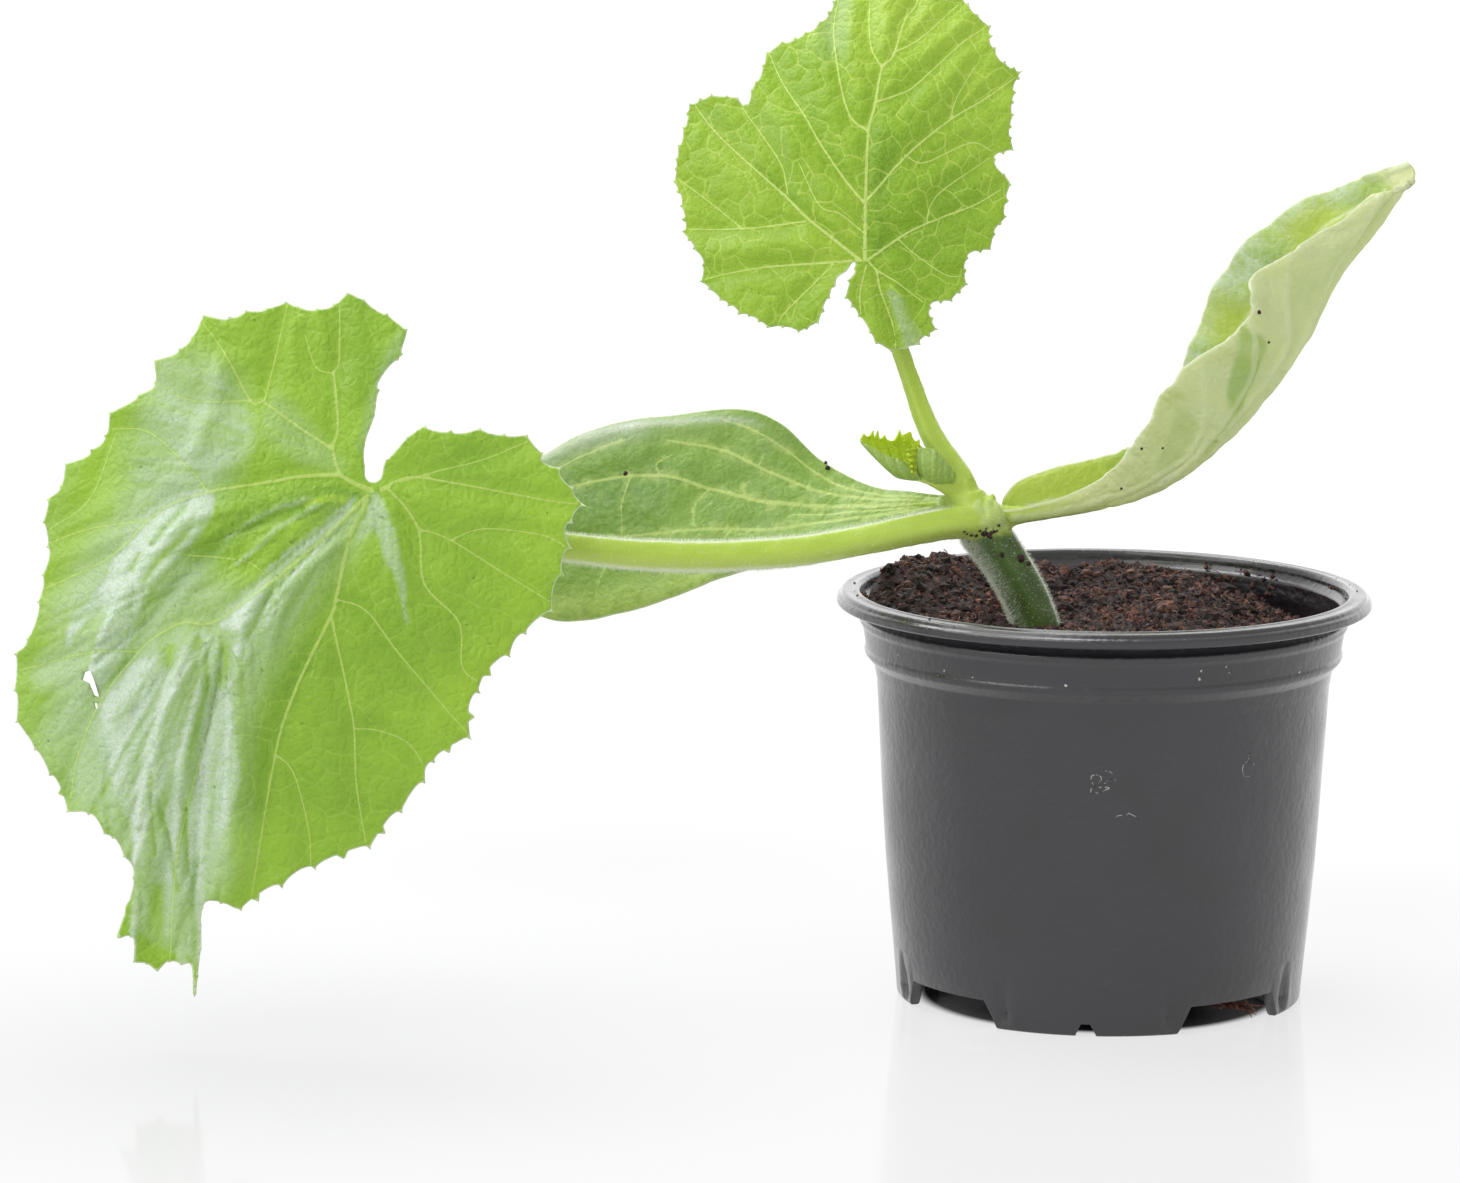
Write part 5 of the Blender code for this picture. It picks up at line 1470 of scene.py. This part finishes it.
def drill(turn, circle):
    """A round cutter through the pot's floor."""
    angle = np.linspace(0, 2 * math.pi, 40, endpoint=False)
    x = circle * math.sin(math.radians(turn)) + DRAIN_RADIUS * np.cos(angle)
    y = -circle * math.cos(math.radians(turn)) + DRAIN_RADIUS * np.sin(angle)
    points = [(a, b, z) for z in (FLOOR_HEIGHT - 2, FLOOR_HEIGHT + 3) for a, b in zip(x, y)]
    ring = list(range(40))
    faces = [ring[::-1], [i + 40 for i in ring]]
    faces += [(i, (i + 1) % 40, (i + 1) % 40 + 40, i + 40) for i in ring]
    return points, faces


def make_pot(material):
    """The pot: turned wall and rim, notched and creased foot ring, drain holes and dents."""
    points, faces = turned(pot_profile(), POT_STEPS)
    pot = add_piece("nursery_pot", new_mesh("nursery_pot", points, faces), material)
    cuts = []
    for quarter in range(4):
        turn = NOTCH_FIRST + 90 * quarter
        cuts += [wedge(turn, NOTCH_ANGLE, NOTCH_HEIGHT, NOTCH_SLOPE),
                 wedge(turn + 45, CREASE_ANGLE, CREASE_HEIGHT, CREASE_SLOPE), drill(turn, DRAIN_CIRCLE)]
    cuts.append(drill(0, 0))
    cutter = add_piece("pot_cuts", new_mesh("pot_cuts", *joined(cuts)))
    opening = pot.modifiers.new("cuts", "BOOLEAN")
    opening.object = cutter
    opening.solver = "EXACT"
    bevel = pot.modifiers.new("edges", "BEVEL")
    bevel.width = 0.3 * MM
    bevel.segments = 2
    bevel.limit_method = "ANGLE"
    bevel.angle_limit = math.radians(50)
    bake(pot)
    bpy.data.objects.remove(cutter)
    places = places_of(pot)
    move_to(pot, places + dents(places))
    pot.data.set_sharp_from_angle(angle=math.radians(42))
    return pot


def make_scuffs(material):
    """Small raised creases in the front of the wall, each a thin line sunk half into it."""
    lines = []
    for course in SCUFFS:
        x, z = smooth(course, 0.3).T
        y = -np.sqrt((wall_radius(z) + 0.02) ** 2 - x * x)
        places = np.column_stack([x, y, z])
        places = places + dents(places)
        size = 0.13 + 0.06 * rough(places, 1.0, 3)
        lines.append(tube(np.column_stack([places, size * ease(0, 3, np.minimum(np.arange(len(x)) + 1.0,
                          len(x) - np.arange(len(x))))]), 6, 0.3))
    return add_piece("wall_scuffs", new_mesh("wall_scuffs", *joined(lines)), material)


def dents(places):
    """How thin plastic is out of true: soft waves in the wall and dents beside each notch."""
    x, y, z = places.T
    radius = np.hypot(x, y) + 1e-9
    turn = np.degrees(np.arctan2(x, -y))
    inward = 0.25 * rough(places, 30, 5) * ease(84, 70, z)
    low = ease(13, 1, z) * (radius > FOOT_RADIUS - 5)
    for quarter in range(4):
        away = np.abs((turn - NOTCH_FIRST - 90 * quarter + 180) % 360 - 180)
        inward -= 1.0 * low * np.exp(-((away - 21.6) / 1.3) ** 2)
        inward += 0.5 * low * np.exp(-((away - 25.2) / 1.6) ** 2)
    inward = inward * ease(0, 2, z)
    return np.column_stack([x / radius * inward, y / radius * inward, np.zeros(len(places))])


def soil_height(x, y):
    """Level of the soil: heaped against the wall at the left and behind, sunk at the right."""
    radius = np.hypot(x, y) + 0.001
    heap_left = SOIL_LEFT_HEAP * np.clip((0.4 * y - 0.92 * x) / radius, 0, None) ** 3
    heap_left *= 1 - 0.4 * ease(49.5, 52.7, radius)
    heap_back = SOIL_BACK_HEAP * np.clip((y + 0.1 * x) / radius, 0, None)
    sink = SOIL_SINK * ease(14, 46, x - 0.15 * y)
    return SOIL_LEVEL + ease(28, 50, radius) * (heap_left + heap_back) - sink


def soil_top():
    """Points and triangles of the soil's crumbled surface."""
    rings = np.arange(0, SOIL_RADIUS - 0.5, SOIL_STEP)
    spots = [(0.0, 0.0)]
    for index, radius in enumerate(rings[1:], 1):
        angle = np.linspace(0, 2 * math.pi, 6 * index, endpoint=False) + 0.4 * index
        spots += list(zip(radius * np.cos(angle), radius * np.sin(angle)))
    edge = np.linspace(0, 2 * math.pi, 400, endpoint=False)
    spots += list(zip(SOIL_RADIUS * np.cos(edge), SOIL_RADIUS * np.sin(edge)))
    flat, _, faces, _, _, _ = geometry.delaunay_2d_cdt([Vector(s) for s in spots], [], [], 0, 0.001)
    flat = np.array(flat)
    x, y = flat.T
    radius = np.hypot(x, y)
    lumps = 1.3 * rough(flat, 6.5, 1, 3) + 1.1 * (0.4 - np.abs(rough(flat, 3.2, 2, 2)))
    pit = 4.5 * np.exp(-((x + 48) / 3.5) ** 2 - ((y - 3) / 5) ** 2)
    mound = 2.6 * np.exp(-((x - 8) / 9) ** 2 - ((y - 43) / 8) ** 2)
    z = soil_height(x, y) + lumps * (1 - 0.5 * ease(49, 53, radius)) - pit + mound
    return np.column_stack([x, y, z]), np.array(faces)


def make_soil(material, points, faces):
    """The soil as one closed lump: its surface, its wall and its flat bottom."""
    edges = np.vstack([faces[:, [0, 1]], faces[:, [1, 2]], faces[:, [2, 0]]]).tolist()
    known = set(map(tuple, edges))
    rim = {a: b for a, b in edges if (b, a) not in known}
    start = next(iter(rim))
    ring = [start]
    while rim[ring[-1]] != start:
        ring.append(rim[ring[-1]])
    profile = [(COLLAR_RADIUS - WALL - 0.4, 79), (BODY_TOP_RADIUS - WALL - 0.4, 75), (wall_radius(40) - 1.3, 40),
               (wall_radius(12) - 1.3, 10.5), (wall_radius(10) - WALL - 1.5, FLOOR_HEIGHT + WALL + 0.3)]
    all_points = [points]
    all_faces = faces.tolist()
    count = len(points)
    above = ring
    rim_points = points[ring]
    unit = rim_points[:, :2] / np.linalg.norm(rim_points[:, :2], axis=1, keepdims=True)
    for radius, height in profile:
        all_points.append(np.column_stack([unit * radius, np.full(len(ring), height)]))
        below = list(range(count, count + len(ring)))
        for i in range(len(ring)):
            j = (i + 1) % len(ring)
            all_faces.append([above[j], above[i], below[i], below[j]])
        above = below
        count += len(ring)
    all_faces.append(above[::-1])
    mesh = new_mesh("soil_body", np.vstack(all_points), all_faces)
    return add_piece("soil_body", mesh, material)


# ---------------------------------------------------------------- stage, lights and camera

def make_floor():
    """A white plate lit from below, as product tables are, so shadows on it stay faint.

    Its light is left out under the pot, a painted shade where its foot would keep the plate
    dark, and is a little less in patches of painted soft shade where large lamps above would
    leave it.
    """
    size = 6000.0
    corners = [(-size, -size, 0), (size, -size, 0), (size, size, 0), (-size, size, 0)]
    made, tree, shader, _ = new_material("lit_white_acrylic_plate")
    place = node(tree, "ShaderNodeTexCoord").outputs["Object"]
    away = node(tree, "ShaderNodeVectorMath", {0: place, 1: (POT_X * MM, 0, 0)}, operation="DISTANCE")
    # painted shade: the plate does not glow under the pot
    glow = pattern(tree, away.outputs["Value"], 0.039, 0.043, 0, 0.69)
    # painted soft shade: the plate's glow drops in soft patches under and behind the plant
    for right, behind, wide, deep, loss in FLOOR_PAINTED_SHADES:
        from_it = node(tree, "ShaderNodeVectorMath", {0: place, 1: ((POT_X + right) * MM, behind * MM, 0)},
                       operation="SUBTRACT")
        from_it = node(tree, "ShaderNodeVectorMath", {0: from_it.outputs[0], 1: (wide * MM, deep * MM, 1)},
                       operation="DIVIDE")
        from_it = node(tree, "ShaderNodeVectorMath", {0: from_it.outputs[0]}, operation="LENGTH")
        glow = together(tree, "MULTIPLY", glow, [from_it.outputs["Value"], 0, 1, 1 - loss, 1])
    connect(tree, shader, {"Base Color": linear("#646466"), "Roughness": 0.08, "IOR": 1.06,
                           "Emission Color": (1, 1, 1, 1), "Emission Strength": glow})
    add_piece("studio_floor", new_mesh("studio_floor", corners, [(0, 1, 2, 3)]), made)


def make_lights():
    """A white room, a large soft light behind and above at the left, and one in front of it."""
    world = bpy.data.worlds.new("white_room")
    world.use_nodes = True
    background = world.node_tree.nodes["Background"]
    background.inputs[0].default_value = (1, 1, 1, 1)
    background.inputs[1].default_value = 0.8
    bpy.context.scene.world = world
    # name, turn from the front to the left, height above level, softness in degrees, strength
    for name, turn, rise, softness, strength in (
            ("top_back", 140, 63, 38, 1.7), ("front_left", 55, 45, 55, 1.3), ("back_wall", 180, 6, 100, 1.2)):
        light = bpy.data.lights.new(name, "SUN")
        light.angle = math.radians(softness)
        light.energy = strength
        lamp = bpy.data.objects.new(name, light)
        turn, rise = math.radians(turn), math.radians(rise)
        towards = Vector((-math.sin(turn) * math.cos(rise), -math.cos(turn) * math.cos(rise), math.sin(rise)))
        lamp.rotation_euler = towards.to_track_quat("Z", "Y").to_euler()
        bpy.context.scene.collection.objects.link(lamp)


def make_camera():
    camera = bpy.data.objects.new("camera", bpy.data.cameras.new("camera"))
    camera.data.sensor_fit = "HORIZONTAL"
    camera.data.sensor_width = SENSOR
    camera.data.lens = LENS
    camera.data.clip_end = 100
    back = np.array([0, -math.cos(ELEVATION), math.sin(ELEVATION)])
    camera.location = Vector(to_frame(np.array(AIM) + DISTANCE * back))
    tilt = Quaternion((1, 0, 0), math.pi / 2 - ELEVATION)
    camera.rotation_euler = (tilt @ Quaternion((0, 0, 1), ROLL)).to_euler()
    bpy.context.scene.collection.objects.link(camera)
    bpy.context.scene.camera = camera
    bpy.context.scene.view_settings.view_transform = "Standard"


# ---------------------------------------------------------------- putting the plant together

def wall_strip(name, turns, heights, radii):
    """A strip of the pot's inner wall or rim that soil crumbs stick to."""
    turn, share = grid_places(np.radians(np.linspace(*turns, 24)), np.linspace(0, 1, 6))
    radius = radii[0] + (radii[1] - radii[0]) * share
    height = heights[0] + (heights[1] - heights[0]) * share
    points = np.column_stack([radius * np.sin(turn), -radius * np.cos(turn), height])
    cover = {"cover": np.ones(len(points))}
    return add_piece(name, new_mesh(name, points, grid_faces(24, 6)[:, ::-1], cover))


def add_pot_and_soil():
    pot = make_pot(pot_material())
    hand_in(pot, "black_plastic", "pot")
    hand_in(make_scuffs(scuff_material()), "black_plastic", "pot")
    damp = soil_material("damp_peat_soil", "#1B1110", "#3A2622", "#50332C")
    grains = soil_material("crumbled_peat", "#3C2723", "#704C42", "#96644E", 0.7)
    straw = soil_material("dry_bark_chips", "#7A5040", "#A87658", "#D0A684")
    dust = soil_material("dried_dust_grains", "#B4B0A8", "#DCD8D0", "#E8E4DC")
    points, faces = soil_top()
    soil = make_soil(damp, points, faces)
    hand_in(soil, "potting_soil", "soil")
    x, y, _ = points.T
    loose = 0.7 + 0.6 * ease(-10, 30, x) + 0.8 * np.clip(rough(points, 12, 4), 0, 1)
    cover = {"cover": loose * ease(SOIL_RADIUS, SOIL_RADIUS - 1.5, np.hypot(x, y))}
    top = add_piece("soil_surface", new_mesh("soil_surface", points, faces, cover))
    crumbs = scatter_tree("soil_crumbs", crumb_shape, grains, 3.1, 0.4, 1.6)
    dark = scatter_tree("damp_crumbs", crumb_shape, damp, 3.1, 0.4, 1.6)
    chips = scatter_tree("bark_chips", fibre_shape, straw, 3.1, 0.3, 1.1)
    pale = scatter_tree("dust_grains", crumb_shape, dust, 3.1, 0.3, 1.2)
    for name, tree, density, size, seed in (
            ("fine_crumbs", crumbs, 22, 0.8, 1), ("damp_crumbs", dark, 26, 1.3, 6),
            ("coarse_crumbs", crumbs, 7, 1.6, 2), ("soil_lumps", dark, 1.6, 2.5, 4),
            ("peat_lumps", crumbs, 1.2, 2.4, 8), ("bark_chips", chips, 11.0, 0.9, 3)):
        hand_in(scattered(name, top, tree, density, size, seed), "potting_soil", "soil")
    bpy.data.objects.remove(top)
    for name, tree, turns, heights, radii, density, size in (
            ("wall_crumbs", crumbs, (128, 154), (83.5, 91), (52.6, 53.2), 22, 1.1),
            ("wall_chips", chips, (132, 150), (84, 90), (52.4, 53.0), 8, 0.8),
            ("rim_crumbs_right", crumbs, (86, 112), (90.4, 92.1), (54.0, 57.0), 16, 0.7),
            ("rim_crumbs_left", crumbs, (262, 330), (89.6, 91.9), (53.4, 56.2), 34, 1.0),
            ("rim_chips_left", chips, (262, 345), (89.6, 91.7), (53.4, 55.8), 16, 0.6),
            ("collar_specks", pale, (-70, 70), (COLLAR_TOP - 2, 79), (53.9, 53.4), 3.0, 0.75)):
        strip = wall_strip(name + "_strip", turns, heights, radii)
        hand_in(scattered(name, strip, tree, density, size, 5), "potting_soil", "soil")
        bpy.data.objects.remove(strip)


def add_stems():
    """The stem, the leaf stalks and the crown, grown together, and all their hair."""
    routes = [STEM, TOP_STALK, LEFT_STALK, YOUNG_STALK, LEFT_SEED_BASE, RIGHT_SEED_BASE, SIDE_BUD, *CROWN_SCALES]
    ribs = [(7, 0.02), (5, 0.07), (4, 0.05)] + [(1, 0)] * (len(routes) - 3)
    piece, places = grown_together("stem_and_stalks", routes, stalk_material())
    places, normals, nearness, rib = ribbed(piece, places, routes, ribs)
    x, _, z = places.T
    others = nearness[1:].min(axis=0)
    dark = ease(-0.1, 0.35, others - nearness[0]) * ease(109.6, 107.4, z + 0.4 * rough(places, 2, 3))
    scaly = ease(2.6, 1.2, nearness[7:].min(axis=0)) * ease(107, 110, z)
    # Pale hair with painted highlight: more on the stem's side that faces the light at the left, and higher up,
    # along both outlines as seen from the front, on the top crest of the left stalk and along its underside.
    left = ease(0.1, 0.8, -normals[:, 0])
    crest = (1 - dark) * ease(0.945, 0.975, normals[:, 2]) * ease(-35, -40, x) * (nearness.argmin(axis=0) == 2)
    fringe = (1 - dark) * ease(-0.6, -0.95, normals[:, 2]) * ease(-50, -90, x)
    sideways = normals @ (0.93, 0, 0.36)
    outline = 0.9 * ease(-0.84, -0.94, sideways) + 0.8 * ease(0.9, 0.97, sideways)
    hair_and_highlight = 0.15 * scaly + dark * ((0.15 + 0.4 * ease(92, 103, z)) * left + outline) + crest + 0.75 * fringe
    marks = {
        "pale": 1 - dark, "ridge": rib / 0.2, "top": normals[:, 2], "hair_and_highlight": np.clip(hair_and_highlight, 0, 1),
        "cover": dark * (z > SOIL_LEVEL) * (0.2 + 1.3 * left + 0.6 * ease(0.7, 0.95, normals[:, 0]))
                 + 0.1 * (1 - dark) + 2.2 * crest + fringe + 0.6 * scaly,
        # dirt specks all over the stem, more of them under the crown and in a band where the stalks meet it,
        # there as painted shade
        "dirt_and_shade": dark * (0.25 + ease(99, 105, z)) + (1 - dark) * ease(111, 108.5, z) * ease(-34, -30, x)
                + 1.6 * np.exp(-((z - 108.4 + 0.25 * (x + 27)) / 0.7) ** 2) * ease(-34, -29, x),
    }
    for key, values in marks.items():
        piece.data.attributes.new(key, "FLOAT", "POINT").data.foreach_set("value", values.astype(np.float32))
    hand_in(piece, "stem_green", "stem", "top_leaf_stalk", "left_leaf_stalk", "young_leaf_stalk", "side_bud")
    hand_in(scattered("stem_hair", piece, hair_tree, 800, 0.75, 7), "stem_green", "stem")
    earth = soil_material("soil_flecks", "#2A1814", "#4A2C22", "#6A4030")
    hand_in(flecked("stem_flecks", piece, STEM_FLECKS, earth), "potting_soil")


def add_roots():
    """Fine roots that come out under the pot at its right-hand notch."""
    fibre = soil_material("dried_root_fibre", "#3E2019", "#6A3A2A", "#8C5440")
    chance = np.random.default_rng(6)
    strands = []
    for strand in range(46):
        shift = chance.uniform(-1, 1, (len(ROOT_TUFT), 4)) * (3.6, 2.0, 1.5, 0)
        route = np.array(ROOT_TUFT) + shift
        route[:, 3] = chance.uniform(0.08, 0.26)
        route[:, 2] = np.maximum(route[:, 2], route[:, 3] + 0.1)
        strands.append(tube(route[:chance.integers(2, 5)], 6, 1.0))
    piece = add_piece("root_fibres", new_mesh("root_fibres", *joined(strands)), fibre)
    hand_in(piece, "root_brown", "root_tuft")


def add_leaves():
    looks = {key: leaf_material(name, {**LEAF_LOOK, **own}) for key, (name, own) in LEAF_LOOKS.items()}
    for key, leaf, form, flow, hair_length, hair_seed in (
            ("left", LEFT_LEAF, left_form, left_flow, 0.55, 11),
            ("top", TOP_LEAF, top_form, top_flow, 0.45, 12)):
        blade = make_blade(key + "_blade", leaf, form, flow, looks[key])
        hand_in(blade, "leaf_green", key + "_leaf")
        hair = scattered(key + "_blade_hair", blade, hair_tree, 70, hair_length, hair_seed)
        hand_in(hair, "leaf_green", key + "_leaf")
    for key, edges, veins, rows, puff, shape, paint, flecks in (
            ("left_seed", LEFT_SEED_EDGES, LEFT_SEED_VEINS, 240, 0.4, left_seed_shape, left_seed_paint,
             LEFT_SEED_FLECKS),
            ("right_seed", RIGHT_SEED_EDGES, RIGHT_SEED_VEINS, 230, 1.1, right_seed_shape, right_seed_paint,
             RIGHT_SEED_FLECKS)):
        blade = make_seed_leaf(key + "_blade", edges, veins, rows, puff, shape, paint, looks[key])
        hand_in(blade, "seed_leaf_green", key + "_leaf")
        hand_in(flecked(key + "_flecks", blade, flecks, bpy.data.materials["soil_flecks"]), "potting_soil")
    hand_in(make_young_leaf(looks["young"]), "leaf_green", "young_leaf")


make_camera()
make_lights()
make_floor()
hair_tree = scatter_tree("plant_hair", hair_shape, hair_material(), 0.5, 0.5, 1.4)
add_pot_and_soil()
add_stems()
add_roots()
add_leaves()
